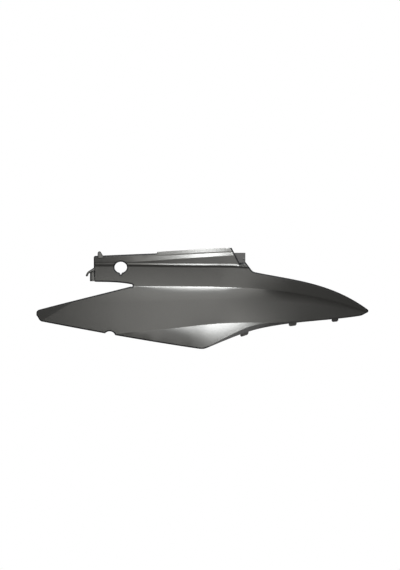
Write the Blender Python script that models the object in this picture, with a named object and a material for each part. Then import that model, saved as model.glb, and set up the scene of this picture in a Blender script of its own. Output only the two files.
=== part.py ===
"""Left side panel of a scooter's rear body, a single thin-walled plastic moulding.

All sizes are in millimetres and are turned into metres when a mesh is made. X runs
from the nose of the panel to its tail, Z is up, and the painted face looks towards -Y.
The origin is on the inner face of the rear tab, which seats on the frame.
"""

import math

import bmesh
import bpy
import numpy as np
from mathutils import Vector
from mathutils.geometry import delaunay_2d_cdt

MM = 0.001

# Wall, and the lip that is turned in behind the edges
WALL = 2.5
EDGE_RADIUS = 3.2
BODY_LIP = 10.0
ARM_LIP = 8.0
TAIL_LIP = 12.0
LIP_BLEND = 12.0

# Places along the panel that several edges share
NOSE_X = -439.0
TAIL_X = 279.8
ARM_X = -315.4
LEDGE_START_X = -178.4
LEDGE_END_X = -19.0
CROTCH_X = -228.0
CORNER_X = -80.0
MIDDLE_X = -87.0

# Edges of the panel as stations of (x, z, slope in degrees), straight beyond the ends
BLADE_TOP = ((NOSE_X, -112.6, 15.0), (CROTCH_X, -59.2, 14.4))
BLADE_BOTTOM = ((NOSE_X, -134.4, -11.0), (CORNER_X, -196.2, -8.0))
ARM_BOTTOM = ((ARM_X, -51.2, -1.0), (CROTCH_X, -58.0, -13.0))
ARM_TOP = ((ARM_X, 4.5, 2.4), (LEDGE_START_X, 10.1, 2.0))
LEDGE_TOP = ((LEDGE_START_X, 13.3, 3.4), (LEDGE_END_X, 21.8, 1.5))
FACET_END = (CORNER_X, -196.2, 22.0)
TAIL_BOTTOM = (FACET_END, (46.0, -150.6, 12.0), (261.0, -124.2, 9.0))
TAIL_TOP = ((24.7, -29.0, -12.2), (TAIL_X, -114.5, -37.0))
NOSE_FRONT_TOP = (-444.0, -114.4)
NOSE_FRONT_FOOT = (-431.5, -135.6)
SHOULDER_END = (10.9, -9.0)
TAB_STEP = (-1.6, -12.6)

# Radii of the rounded corners
NOSE_TOP_RADIUS = 9.0
NOSE_FOOT_RADIUS = 12.0
CORNER_RADIUS = 30.0
HEEL_RADIUS = 22.0
TIP_RADIUS = 3.8
SWEEP_RADIUS = 14.0
SWEEP_X = 26.0
CROTCH_RADIUS = 3.0
ARM_CORNER_RADIUS = 4.0

# Lines that the styling follows, from the top down
LEDGE_LINE = ((LEDGE_START_X, 11.2, 1.0), (LEDGE_END_X, 14.6, 1.0))
DIAGONAL = ((-248.0, -8.6, 3.6), (-12.0, 6.4, 3.6))
SHOULDER_TOP = ((ARM_X, -10.6, 0.0), (-237.0, -10.7, -0.3), (SHOULDER_END[0], -14.2, -1.0))
SHOULDER_FOOT = ((ARM_X, -14.0, 0.0), (-237.0, -14.2, -0.4), (SHOULDER_END[0], -19.3, -2.0))
CHARACTER_LINE = ((NOSE_X, -61.0, 0.0), (CROTCH_X, -60.2, -0.8), (TAIL_X, -117.6, -21.0))
LOWER_CREASE = ((NOSE_X, -176.0, 2.0), (-248.0, -161.4, 7.0), (-92.0, -144.8, 7.0),
                (46.0, -138.2, 0.0))
GROOVE_WIDTH = 5.2
LEDGE_STEP_WIDTH = 1.8
LEDGE_RISE = 10.4
FILLET_WIDTH = 3.0
SOFT_LINE_SHARE = 0.36
CREASE_WIDTH = 1.2
CREASE_CLEARANCE = 2.4
SMALLEST_STEP = 0.05

# How far each stretch of the face is tilted up, as stations of (x, degrees)
LEDGE_TILT = ((LEDGE_START_X, 26.0), (LEDGE_END_X, 28.0))
LEDGE_STEP_TILT = ((LEDGE_START_X - 3.0, 26.0), (LEDGE_START_X + 5.0, -18.0))
FLANGE_TILT = ((ARM_X, -15.0), (-242.0, -9.0), (-214.0, 1.0), (-195.0, 16.0), (-172.0, 21.5),
               (-120.0, 24.5), (-60.0, 28.0))
SIDE_TILT = ((ARM_X, -14.0), (-200.0, -13.5), (-140.0, -8.0), (LEDGE_END_X, -5.0))
SHOULDER_TILT = ((ARM_X, -13.0), (-242.0, -5.0), (-214.0, 3.0), (-195.0, 17.0), (-160.0, 21.5),
                 (-100.0, 26.0), (TAB_STEP[0] - 1.0, 31.0), (TAB_STEP[0] + 3.5, 52.0))
GROOVE_TILT = ((ARM_X, -40.0), (-160.0, -45.0), (SHOULDER_END[0], -40.0))
BAND_TOP_TILT = ((-300.0, -12.0), (-100.0, -12.0), (0.0, -9.0), (90.0, -11.0), (180.0, -16.0))
BAND_FOOT_TILT = ((-300.0, -5.0), (-100.0, -6.0), (0.0, -6.0), (110.0, -17.0), (200.0, -18.0))
FILLET_TILT = ((-240.0, 28.0), (-120.0, 33.0), (-10.0, 26.0), (45.0, -3.0), (105.0, -35.0))
BODY_TILT = ((-400.0, 4.0), (-220.0, 15.0), (-100.0, 23.0), (-30.0, 20.0), (40.0, -3.0),
             (110.0, -27.0))
SOFT_TILT = ((-400.0, 1.0), (-220.0, -2.0), (-60.0, 0.0), (20.0, 1.0), (120.0, 5.0), (200.0, 0.0))
CREASE_TOP_TILT = ((-400.0, -5.0), (-220.0, 1.0), (-60.0, -3.0), (20.0, 6.0), (130.0, 9.0),
                   (200.0, 6.0))
FACET_TILT = ((-245.0, -12.0), (-190.0, 15.0), (-130.0, 25.0), (-60.0, 30.0), (40.0, 29.0),
              (80.0, 5.0))
FOOT_TILT = ((-400.0, 0.0), (-245.0, -4.0), (-130.0, 9.0), (-60.0, 20.0), (20.0, 22.0))

# Flange that slopes inwards below the lower rear edge of the face: (x, width, slope)
RETURN_ANGLE = 14.0
RETURN_WIDTH = ((CORNER_X, 3.0, 15.0), (-50.0, 9.4, 4.0), (20.0, 12.6, 0.0), (62.0, 6.4, -5.0),
                (100.0, 3.8, -2.0), (262.0, 3.0, 0.0))
PLAIN_EDGE = 1.2

# Curve of the panel seen from above
MIDDLE_DEPTH = -13.2
NOSE_SWEEP = 24.0
TAIL_SWEEP = 60.0

# The nose is bent inwards beyond a slanting line
NOSE_BEND_LOW = (-427.0, -133.5)
NOSE_BEND_HIGH = (-383.8, -107.5)
NOSE_BEND = 26.0
NOSE_BEND_WIDTH = 4.0
NOSE_BEND_STEP = 8.0

# Hole for the seat lock, with its pointed keyway
LOCK_HOLE = (-257.4, -20.0)
LOCK_HOLE_WIDTH = 26.8
LOCK_HOLE_HEIGHT = 23.6
KEYWAY_WIDTH = 5.0
KEYWAY_TIP = 1.6
KEYWAY_DEPTH = 3.6
LOCK_COLLAR = 8.0

# Round notch in the lower edge
NOTCH_X = -281.5
NOTCH_RADIUS = 13.0
NOTCH_DEPTH = 6.2
NOTCH_SAMPLES = 400

# Tab at the top rear, which is screwed to the frame: it is thicker towards its foot
REAR_TAB_LEFT = -24.0
REAR_TAB_RIGHT = 10.4
REAR_TAB_TOP = 11.2
REAR_TAB_FOOT = -17.5
REAR_TAB_STEP = -10.6
REAR_TAB_STEP_DEPTH = 4.8
REAR_TAB_STEP_HEIGHT = 2.4

# Catch on the front of the rear tab, given by its right side, top, width and height
CATCH = (8.6, 1.4, 3.4, 5.0)
CATCH_DEPTH = 2.2

# Tabs that hang from the lower rear edge: middle and width of each
LOWER_TABS = ((8.3, 17.6), (112.4, 17.2), (204.0, 14.6))
LOWER_TAB_RISE = 5.0
LOWER_TAB_DROP = 6.0
LOWER_TAB_CHAMFER = 2.6
LOWER_TAB_OVERLAP = 0.5

# Ear, hook and lug at the front end of the arm, as (x, z) from the arm's front edge
EAR = ((8.4, -1.0), (20.8, -1.0), (20.8, 3.4), (16.0, 12.2), (13.4, 14.4), (10.2, 13.8),
       (8.4, 11.0))
EAR_THICKNESS = 6.0
HOOK = ((3.0, -18.4), (-2.4, -22.6), (-7.2, -25.6), (-12.0, -28.6), (-15.2, -32.4),
        (-17.4, -37.2), (-16.6, -39.8), (-12.8, -39.0), (-11.8, -35.4), (-8.8, -32.4),
        (-4.0, -30.2), (3.0, -28.0))
HOOK_THICKNESS = 7.0
CHAMFER = 1.2
LUG_REACH = 8.4
LUG_ROOT = 2.0
LUG_TOP = -28.5
LUG_FOOT = -50.0
LUG_SIDES = 8

# Ribs behind the shoulder
RIB_COUNT = 5
RIB_THICKNESS = 2.0
RIB_FIRST_X = -214.0
RIB_LAST_X = -44.0
RIB_DEPTH = 7.0
RIB_STEPS = 8

# Spacing of the mesh
STATION = 10.0
ROW = 11.0
RIM_STEP = 9.0
ARC_STEP = 18.0
ROLL_STEPS = 3
RING_CLEARANCE = 1.2
ROW_CLEARANCE = 0.9
SHORTEST_EDGE = 0.4
EDGE_CHECKS = 9
SHARPEST_MITRE = 0.4
MERGE = 1e-4
SHARP_ANGLE = 28.0

PAINT_COLOUR = (0.105, 0.105, 0.098, 1.0)
PAINT_METALLIC = 0.55
PAINT_ROUGHNESS = 0.42


def clear_scene():
    for obj in list(bpy.data.objects):
        bpy.data.objects.remove(obj, do_unlink=True)


def curve(x, stations):
    """Value at x of the smooth curve through stations of (x, value, slope in degrees)."""
    x = np.asarray(x, float)
    xs, zs, angles = (np.array(column, float) for column in zip(*stations))
    slopes = np.tan(np.radians(angles))
    i = np.clip(np.searchsorted(xs, x) - 1, 0, len(xs) - 2)
    run = xs[i + 1] - xs[i]
    t = np.clip((x - xs[i]) / run, 0, 1)
    z = (1 + 2 * t) * (1 - t) ** 2 * zs[i] + t * t * (3 - 2 * t) * zs[i + 1]
    z = z + t * (1 - t) ** 2 * run * slopes[i] + t * t * (t - 1) * run * slopes[i + 1]
    before, after = np.minimum(x - xs[0], 0), np.maximum(x - xs[-1], 0)
    return z + before * slopes[0] + after * slopes[-1]


def tilt_at(x, stations):
    """Tilt in degrees at x of the smooth curve through stations of (x, degrees)."""
    xs, degrees = (np.array(column, float) for column in zip(*stations))
    slopes = np.zeros(len(xs))
    slopes[1:-1] = (degrees[2:] - degrees[:-2]) / (xs[2:] - xs[:-2])
    return curve(x, list(zip(xs, degrees, np.degrees(np.arctan(slopes)))))


def guide_lines(x):
    """Heights at x of the lines where the face changes its tilt, from the top down."""
    shoulder_top = curve(x, SHOULDER_TOP)
    shoulder_foot = curve(x, SHOULDER_FOOT)
    character = curve(x, CHARACTER_LINE)
    edge = np.where(x < CORNER_X, curve(x, BLADE_BOTTOM),
                    curve(x, TAIL_BOTTOM) + curve(x, RETURN_WIDTH))
    crease = curve(x, LOWER_CREASE)
    soft = character + SOFT_LINE_SHARE * (np.maximum(crease, edge) - character)
    crease = np.where(x < CORNER_X, crease, np.maximum(crease, edge + CREASE_CLEARANCE))
    foot = np.minimum(curve(x, BLADE_BOTTOM), crease - CREASE_CLEARANCE)
    return dict(ledge=curve(x, LEDGE_LINE),
                diagonal=np.maximum(curve(x, DIAGONAL), shoulder_top + CREASE_CLEARANCE),
                shoulder_top=shoulder_top, shoulder_foot=shoulder_foot,
                groove=shoulder_foot - GROOVE_WIDTH, character=character, soft=soft,
                crease=crease, foot=foot)


def face_section(x):
    """Heights and slopes of the section of the face at x from the top down, and which of
    them is the soft line."""
    line = guide_lines(x)
    half = CREASE_WIDTH / 2
    step_foot = line["ledge"] - LEDGE_STEP_WIDTH
    fillet_foot = line["character"] - FILLET_WIDTH
    knots = [
        (line["ledge"] + LEDGE_RISE, LEDGE_TILT),
        (line["ledge"] + half, LEDGE_TILT), (line["ledge"] - half, LEDGE_STEP_TILT),
        (step_foot, LEDGE_STEP_TILT), (step_foot - half, FLANGE_TILT),
        (line["diagonal"] + half, FLANGE_TILT), (line["diagonal"] - half, SIDE_TILT),
        (line["shoulder_top"] + half, SIDE_TILT),
        (line["shoulder_top"] - half, SHOULDER_TILT),
        (line["shoulder_foot"] + half, SHOULDER_TILT),
        (line["shoulder_foot"] - half, GROOVE_TILT),
        (line["groove"], BAND_TOP_TILT),
        (line["character"] + half, BAND_FOOT_TILT),
        (line["character"] - half, FILLET_TILT),
        (fillet_foot, BODY_TILT),
        (line["soft"], SOFT_TILT),
        (line["crease"] + half, CREASE_TOP_TILT), (line["crease"] - half, FACET_TILT),
        (line["foot"], FOOT_TILT), (line["foot"] - BODY_LIP, FOOT_TILT),
    ]
    heights, slopes = [], []
    for height, tilt in knots:
        if heights:
            height = np.minimum(height, heights[-1] - SMALLEST_STEP)
        heights.append(height)
        slopes.append(np.tan(np.radians(tilt_at(x, tilt))))
    return np.array(heights), np.array(slopes), [tilt for _, tilt in knots].index(SOFT_TILT)


def face_depth(x, z):
    """Depth (y) of the painted face: its slope added up from the soft line."""
    x, z = np.broadcast_arrays(np.asarray(x, float), np.asarray(z, float))
    shape, x, z = x.shape, x.ravel(), z.ravel()
    heights, slopes, soft = face_section(x)
    gaps = np.diff(heights, axis=0)
    depths = np.zeros_like(heights)
    depths[1:] = np.cumsum(gaps * (slopes[1:] + slopes[:-1]) / 2, axis=0)
    depths -= depths[soft]
    above = np.clip((heights > z).sum(axis=0) - 1, 0, len(heights) - 2)
    at = np.arange(len(x))
    top, foot = heights[above, at], heights[above + 1, at]
    rise = np.clip(z, foot, top) - top
    bend = (slopes[above + 1, at] - slopes[above, at]) / (foot - top)
    depth = depths[above, at] + slopes[above, at] * rise + bend * rise * rise / 2
    depth += np.maximum(z - top, 0) * slopes[above, at]
    depth += np.minimum(z - foot, 0) * slopes[above + 1, at]
    return (depth + plan_depth(x) + nose_bend(x, z)).reshape(shape)


def plan_depth(x):
    """Depth of the soft line, which gives the panel its curve seen from above."""
    to_tail = np.maximum(x - MIDDLE_X, 0) / (TAIL_X - MIDDLE_X)
    to_nose = np.maximum(MIDDLE_X - x, 0) / (MIDDLE_X - NOSE_X)
    return MIDDLE_DEPTH + TAIL_SWEEP * to_tail**2 + NOSE_SWEEP * to_nose**2


def nose_bend(x, z):
    """Extra depth beyond the slanting line where the nose is bent inwards."""
    low, along = bend_line()
    beyond = (z - low[1]) * along[0] - (x - low[0]) * along[1]
    ramp = np.clip(beyond + NOSE_BEND_WIDTH / 2, 0, NOSE_BEND_WIDTH)
    rise = ramp**2 / (2 * NOSE_BEND_WIDTH) + np.maximum(beyond - NOSE_BEND_WIDTH / 2, 0)
    return np.where(x < ARM_X - 2 * WALL, math.tan(math.radians(NOSE_BEND)) * rise, 0)


def bend_line():
    """A point of the slanting line and its direction."""
    low, high = np.array(NOSE_BEND_LOW), np.array(NOSE_BEND_HIGH)
    return low, (high - low) / np.linalg.norm(high - low)


def wall_depth(x, z):
    """Thickness of the wall measured along Y, so that it is WALL square to the face."""
    step = WALL
    in_x = (face_depth(x + step, z) - face_depth(x - step, z)) / (2 * step)
    in_z = (face_depth(x, z + step) - face_depth(x, z - step)) / (2 * step)
    return WALL * np.sqrt(1 + in_x**2 + in_z**2)


def edge_points(stations, start_x, end_x):
    """Points along an edge from start_x to end_x, ends included."""
    count = max(2, math.ceil(abs(end_x - start_x) / RIM_STEP) + 1)
    xs = np.linspace(start_x, end_x, count)
    return np.column_stack([xs, curve(xs, stations)])


def straight_points(start, end):
    start, end = np.array(start, float), np.array(end, float)
    count = max(2, math.ceil(np.linalg.norm(end - start) / RIM_STEP) + 1)
    return start + (end - start) * np.linspace(0, 1, count)[:, None]


def rounded(before, after, radius):
    """Both runs cut back from their common corner, and the arc that joins them."""
    corner = before[-1]
    into = corner - before[-2]
    away = after[1] - corner
    into, away = into / np.linalg.norm(into), away / np.linalg.norm(away)
    side = into[0] * away[1] - into[1] * away[0]
    turn = math.atan2(side, into @ away)
    back = radius * math.tan(abs(turn) / 2)
    before = before[np.linalg.norm(before - corner, axis=1) > back + SHORTEST_EDGE]
    after = after[np.linalg.norm(after - corner, axis=1) > back + SHORTEST_EDGE]
    start = corner - into * back
    normal = np.array([-into[1], into[0]]) * math.copysign(1, turn)
    centre = start + normal * radius
    steps = max(2, math.ceil(math.degrees(abs(turn)) / ARC_STEP))
    arc = []
    for angle in np.linspace(0, turn, steps + 1):
        c, s = math.cos(angle), math.sin(angle)
        spoke = start - centre
        arc.append(centre + [c * spoke[0] - s * spoke[1], s * spoke[0] + c * spoke[1]])
    return before, np.array(arc), after


def notched(run):
    """The lower edge with the round notch cut up into it."""
    foot = float(curve(NOTCH_X, BLADE_BOTTOM))
    centre = np.array([NOTCH_X, foot + NOTCH_DEPTH - NOTCH_RADIUS])
    xs = np.linspace(NOTCH_X - NOTCH_RADIUS, NOTCH_X + NOTCH_RADIUS, NOTCH_SAMPLES)
    below = curve(xs, BLADE_BOTTOM)
    cut = np.hypot(xs - centre[0], below - centre[1]) < NOTCH_RADIUS
    left, right = xs[cut][0], xs[cut][-1]
    ends = [np.array([x, float(curve(x, BLADE_BOTTOM))]) for x in (left, right)]
    angles = [math.atan2(end[1] - centre[1], end[0] - centre[0]) for end in ends]
    steps = math.ceil(math.degrees(angles[0] - angles[1]) / ARC_STEP)
    arc = [centre + NOTCH_RADIUS * np.array([math.cos(a), math.sin(a)])
           for a in np.linspace(angles[0], angles[1], steps + 1)]
    clear = EDGE_RADIUS
    return np.vstack([run[run[:, 0] < left - clear], arc, run[run[:, 0] > right + clear]])


def outline():
    """The panel's edge, anticlockwise from the nose, and at each of its points the share
    of a rolled edge, the depth of the lip, the width and the pitch of a plain edge."""
    heel = (TAIL_BOTTOM[-1][0], TAIL_BOTTOM[-1][1])
    tip = (TAIL_X, TAIL_TOP[-1][1])
    sweep = (SWEEP_X, float(curve(SWEEP_X, TAIL_TOP)))
    ledge_end = (LEDGE_END_X, LEDGE_TOP[-1][1])
    ledge_start = (LEDGE_START_X, LEDGE_TOP[0][1])
    step_x = LEDGE_START_X - LEDGE_STEP_WIDTH
    step = (step_x, float(curve(step_x, ARM_TOP)))
    to_tab = None
    runs = [
        (edge_points(BLADE_BOTTOM, NOSE_FRONT_FOOT[0], CORNER_X), CORNER_RADIUS, BODY_LIP),
        (edge_points(TAIL_BOTTOM, CORNER_X, heel[0]), HEEL_RADIUS, "return"),
        (straight_points(heel, tip), TIP_RADIUS, ARM_LIP),
        (edge_points(TAIL_TOP, TAIL_X, SWEEP_X), SWEEP_RADIUS, TAIL_LIP),
        (straight_points(sweep, SHOULDER_END), 0, to_tab),
        (straight_points(SHOULDER_END, TAB_STEP), 0, to_tab),
        (straight_points(TAB_STEP, ledge_end), 0, to_tab),
        (edge_points(LEDGE_TOP, LEDGE_END_X, LEDGE_START_X), 0, "plain"),
        (straight_points(ledge_start, step), 0, "plain"),
        (edge_points(ARM_TOP, step_x, ARM_X), ARM_CORNER_RADIUS, ARM_LIP),
        (straight_points((ARM_X, ARM_TOP[0][1]), (ARM_X, ARM_BOTTOM[0][1])),
         ARM_CORNER_RADIUS, ARM_LIP),
        (edge_points(ARM_BOTTOM, ARM_X, CROTCH_X), CROTCH_RADIUS, ARM_LIP),
        (edge_points(BLADE_TOP, CROTCH_X, NOSE_FRONT_TOP[0]), NOSE_TOP_RADIUS, BODY_LIP),
        (straight_points(NOSE_FRONT_TOP, NOSE_FRONT_FOOT), NOSE_FOOT_RADIUS, ARM_LIP),
    ]
    points = [run[0] for run in runs]
    arcs = [[]] * len(runs)
    for i, run in enumerate(runs):
        if run[1]:
            follower = (i + 1) % len(runs)
            points[i], arcs[i], points[follower] = rounded(points[i], points[follower], run[1])
    points[0] = notched(points[0])
    places, edges = [], []
    for i, run in enumerate(runs):
        for place in [*points[i], *arcs[i]]:
            near = places and np.linalg.norm(places[-1] - place) < SHORTEST_EDGE
            home = places and np.linalg.norm(places[0] - place) < SHORTEST_EDGE
            if not near and not home:
                places.append(place)
                edges.append(edge_style(place, run[2]))
    places = np.array(places)
    return places, blended(places, np.array(edges))


def edge_style(place, kind):
    """Share of roll, lip, width of a plain edge and its pitch, for a lip or a kind."""
    if kind == "plain":
        return 0.0, ARM_LIP, PLAIN_EDGE, 0.0
    if kind == "return":
        width = float(curve(place[0], RETURN_WIDTH))
        return 0.0, BODY_LIP, width, math.tan(math.radians(RETURN_ANGLE))
    to_tab = max(EDGE_RADIUS + WALL, -WALL / 2 - float(face_depth(*place)))
    return 1.0, to_tab if kind is None else kind, EDGE_RADIUS, 0.0


def blended(places, values):
    """Values averaged over the neighbours within the blend length on either side."""
    apart = np.linalg.norm(places[:, None] - places[None], axis=2)
    weight = np.clip(1 - apart / LIP_BLEND, 0, 1)
    return weight @ values / weight.sum(axis=1)[:, None]


def lock_hole():
    """The edge of the lock hole, clockwise so that the material lies on the same side."""
    centre = np.array(LOCK_HOLE)
    half_key = KEYWAY_WIDTH / 2
    wide, high = LOCK_HOLE_WIDTH / 2, LOCK_HOLE_HEIGHT / 2
    gap = math.asin(half_key / wide)
    down = -math.pi / 2
    steps = math.ceil(math.degrees(2 * math.pi - 2 * gap) / ARC_STEP)
    angles = np.linspace(down - gap, down + gap - 2 * math.pi, steps + 1)
    ring = [centre + [wide * math.cos(a), high * math.sin(a)] for a in angles]
    foot = centre[1] - high - KEYWAY_DEPTH
    ring += [np.array([centre[0] + side * KEYWAY_TIP / 2, foot]) for side in (1, -1)]
    return np.array(ring)


def inward_normals(loop):
    """Mitred normals into the material, which lies to the left of the loop."""
    before, after = np.roll(loop, 1, axis=0), np.roll(loop, -1, axis=0)
    into = (loop - before) / np.linalg.norm(loop - before, axis=1)[:, None]
    away = (after - loop) / np.linalg.norm(after - loop, axis=1)[:, None]
    left = np.stack([-into[:, 1] - away[:, 1], into[:, 0] + away[:, 0]], axis=1)
    left /= np.linalg.norm(left, axis=1)[:, None]
    half_turn = np.clip(left[:, 0] * -into[:, 1] + left[:, 1] * into[:, 0], SHARPEST_MITRE, 1)
    return left / half_turn[:, None]


def rim_section(roll, lip, width, pitch):
    """Points of the rim from the face to the inner face, as (inset, depth, share of the
    wall); a rolled edge ends in a lip, and a plain one slopes inwards by its pitch."""
    plain, steep = 1 - roll, WALL * (math.hypot(1, pitch) - 1)
    points = []
    for step in range(ROLL_STEPS + 1):
        angle, share = step / ROLL_STEPS * math.pi / 2, step / ROLL_STEPS
        points.append((roll * EDGE_RADIUS * (1 - math.sin(angle)) + plain * width * (1 - share),
                       roll * EDGE_RADIUS * (1 - math.cos(angle)) + plain * width * share * pitch,
                       0))
    points += [
        (0, roll * lip + plain * (width * pitch + steep), plain),
        (roll * WALL + plain * width / 3, roll * lip + plain * (width * pitch * 2 / 3 + steep),
         plain),
        (roll * WALL + plain * width * 2 / 3,
         roll * EDGE_RADIUS + plain * (width * pitch / 3 + steep), plain),
        (points[0][0], 0, 1),
    ]
    return points


def inside(points, loop):
    """Whether each point lies inside the closed loop."""
    x, z = points[:, :1], points[:, 1:]
    start, end = loop, np.roll(loop, -1, axis=0)
    crosses = (start[:, 1] > z) != (end[:, 1] > z)
    rise = np.where(end[:, 1] == start[:, 1], 1, end[:, 1] - start[:, 1])
    at = start[:, 0] + (z - start[:, 1]) / rise * (end[:, 0] - start[:, 0])
    return (crosses & (x < at)).sum(axis=1) % 2 == 1


def distance(points, loop):
    """Distance from each point to the closed loop."""
    start, end = loop, np.roll(loop, -1, axis=0)
    along = end - start
    length = (along**2).sum(axis=1)
    t = ((points[:, None] - start) * along).sum(axis=2) / length
    near = start + np.clip(t, 0, 1)[:, :, None] * along
    return np.linalg.norm(points[:, None] - near, axis=2).min(axis=1)


def lattice(rings):
    """Points over the face inside the rings, in columns, and the edges that join each
    line of the face's section from one column to the next."""
    xs = np.linspace(NOSE_X, TAIL_X, math.ceil((TAIL_X - NOSE_X) / STATION) + 1)
    points, edges, last = [], [], {}
    for x, knots in zip(xs, face_section(xs)[0].T):
        rows = [(0, knots[0])]
        for k, (high, low) in enumerate(zip(knots[:-1], knots[1:]), start=1):
            between = math.ceil((high - low) / ROW)
            rows += [(k + j / between, high + (low - high) * j / between)
                     for j in range(1, between + 1)]
        places = np.array([(x, z) for _, z in rows])
        kept, floor = {}, math.inf
        for (name, z), free in zip(rows, clear_of(rings, places)):
            if free and floor - z > ROW_CLEARANCE:
                floor, kept[name] = z, len(points)
                points.append((x, z))
                if name in last:
                    edges.append((last[name], kept[name]))
        last = kept
    return points, edges


def clear_of(rings, places):
    """Whether each place is on the face, clear of its edge and of the lock hole."""
    on_face = inside(places, rings[0]) & ~inside(places, rings[1])
    return on_face & (np.minimum(*(distance(places, ring) for ring in rings)) > RING_CLEARANCE)


def with_bend(rings, points, edges):
    """The points and edges with both sides of the nose's bend added as edges."""
    low, along = bend_line()
    across = np.array([-along[1], along[0]]) * NOSE_BEND_WIDTH / 2
    reach = math.dist(NOSE_BEND_LOW, NOSE_BEND_HIGH)
    steps = np.arange(-reach / 2, reach * 2, NOSE_BEND_STEP)
    for side in (-1, 1):
        line = low + side * across + steps[:, None] * along
        line = line[clear_of(rings, line)]
        first = len(points)
        points = points + [tuple(place) for place in line]
        edges = edges + [(first + i, first + i + 1) for i in range(len(line) - 1)]
    ends = np.array(points)[np.array(edges)]
    on_face = np.ones(len(edges), bool)
    for share in np.linspace(0, 1, EDGE_CHECKS):
        on_face &= clear_of(rings, ends[:, 0] * (1 - share) + ends[:, 1] * share)
    return points, [edge for edge, fits in zip(edges, on_face) if fits]


def filled(rings, points, edges):
    """Triangles that fill the face between the rings, as indices into all the points."""
    flat = [Vector(place) for ring in rings for place in ring]
    links, first = [], 0
    for ring in rings:
        links += [(first + i, first + (i + 1) % len(ring)) for i in range(len(ring))]
        first += len(ring)
    flat += [Vector(place) for place in points]
    links += [(first + a, first + b) for a, b in edges]
    found = delaunay_2d_cdt(flat, links, [], 0, MERGE)
    places = np.array([tuple(place) for place in found[0]])
    triangles = np.array([face for face in found[2] if len(face) == 3])
    middles = places[triangles].mean(axis=1)
    keep = inside(middles, rings[0]) & ~inside(middles, rings[1])
    return places, triangles[keep], found[3]


def shell_mesh():
    """The moulded wall: face, rim and inner face as one closed mesh."""
    edge, styles = outline()
    hole = lock_hole()
    loops = [(edge, [rim_section(*style) for style in styles]),
             (hole, [rim_section(1.0, LOCK_COLLAR, EDGE_RADIUS, 0.0)] * len(hole))]
    vertices, faces, rings, face_ends = [], [], [], []
    for loop, sections in loops:
        first, count = len(vertices), len(sections[0])
        for place, normal, section in zip(loop, inward_normals(loop), sections):
            face_ends.append((len(vertices), len(vertices) + count - 1))
            vertices += [(*(place + normal * inset), depth, walls)
                         for inset, depth, walls in section]
        for i in range(len(loop)):
            here, there = first + i * count, first + (i + 1) % len(loop) * count
            faces += [(here + k, there + k, there + k + 1, here + k + 1)
                      for k in range(count - 1)]
        rings.append(np.array([vertex[:2] for vertex in vertices[first::count]]))
    places, triangles, origins = filled(rings, *with_bend(rings, *lattice(rings)))
    ends = []
    for (x, z), origin in zip(places, origins):
        on_ring = [o for o in origin if o < len(face_ends)]
        if on_ring:
            ends.append(face_ends[on_ring[0]])
        else:
            ends.append((len(vertices), len(vertices) + 1))
            vertices += [(x, z, 0, 0), (x, z, 0, 1)]
    for a, b, c in triangles:
        faces += [(ends[a][0], ends[b][0], ends[c][0]), (ends[a][1], ends[c][1], ends[b][1])]
    x, z, depth, walls = np.array(vertices).T
    y = face_depth(x, z) + depth + walls * wall_depth(x, z)
    return np.column_stack([x, y, z]), faces


def make_object(name, vertices, faces):
    """An object from millimetre vertices, closed and facing out."""
    mesh = bpy.data.meshes.new(name)
    mesh.from_pydata([Vector(v) * MM for v in vertices], [], faces)
    shape = bmesh.new()
    shape.from_mesh(mesh)
    loose = [v for v in shape.verts if not v.link_faces]
    bmesh.ops.delete(shape, geom=loose, context="VERTS")
    bmesh.ops.recalc_face_normals(shape, faces=shape.faces)
    shape.to_mesh(mesh)
    shape.free()
    obj = bpy.data.objects.new(name, mesh)
    bpy.context.collection.objects.link(obj)
    return obj


def prism(name, profile, to_point, near, far):
    """A solid between two copies of a profile; to_point places (u, v) at a thickness."""
    count = len(profile)
    vertices = [to_point(u, v, near) for u, v in profile]
    vertices += [to_point(u, v, far) for u, v in profile]
    faces = [tuple(range(count)), tuple(range(2 * count - 1, count - 1, -1))]
    faces += [(i, (i + 1) % count, count + (i + 1) % count, count + i) for i in range(count)]
    return make_object(name, vertices, faces)


def chamfered(name, profile, front, back):
    """A solid with a profile of (x, z) whose front edges are chamfered; it widens to the
    full profile one chamfer behind the front."""
    loop = np.array(profile, float)
    if signed_area(loop) < 0:
        loop = loop[::-1]
    small = loop + inward_normals(loop) * CHAMFER
    vertices = [(x, front, z) for x, z in small]
    vertices += [(x, front + CHAMFER, z) for x, z in loop]
    vertices += [(x, back, z) for x, z in loop]
    count = len(loop)
    faces = [tuple(range(count)), tuple(range(3 * count - 1, 2 * count - 1, -1))]
    for first in (0, count):
        faces += [(first + i, first + (i + 1) % count, first + count + (i + 1) % count,
                   first + count + i) for i in range(count)]
    return make_object(name, vertices, faces)


def signed_area(loop):
    after = np.roll(loop, -1, axis=0)
    return (loop[:, 0] * after[:, 1] - after[:, 0] * loop[:, 1]).sum() / 2


def rear_tab():
    """Tab whose inner face is the origin plane, with the catch on its front."""
    foot_depth = -REAR_TAB_STEP_DEPTH + REAR_TAB_STEP_HEIGHT
    profile = [(0.0, REAR_TAB_FOOT), (0.0, REAR_TAB_TOP), (-WALL, REAR_TAB_TOP),
               (-REAR_TAB_STEP_DEPTH, REAR_TAB_STEP),
               (foot_depth, REAR_TAB_STEP - REAR_TAB_STEP_HEIGHT), (foot_depth, REAR_TAB_FOOT)]
    plate = prism("rear_tab", profile, lambda y, z, x: (x, y, z), REAR_TAB_LEFT, REAR_TAB_RIGHT)
    right, top, width, height = CATCH
    ramp = [(-WALL / 2, top), (-WALL, top), (-WALL - CATCH_DEPTH, top - height + CHAMFER),
            (-WALL - CATCH_DEPTH, top - height), (-WALL / 2, top - height)]
    catch = prism("catch", ramp, lambda y, z, x: (x, y, z), right - width, right)
    return [plate, catch]


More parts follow.
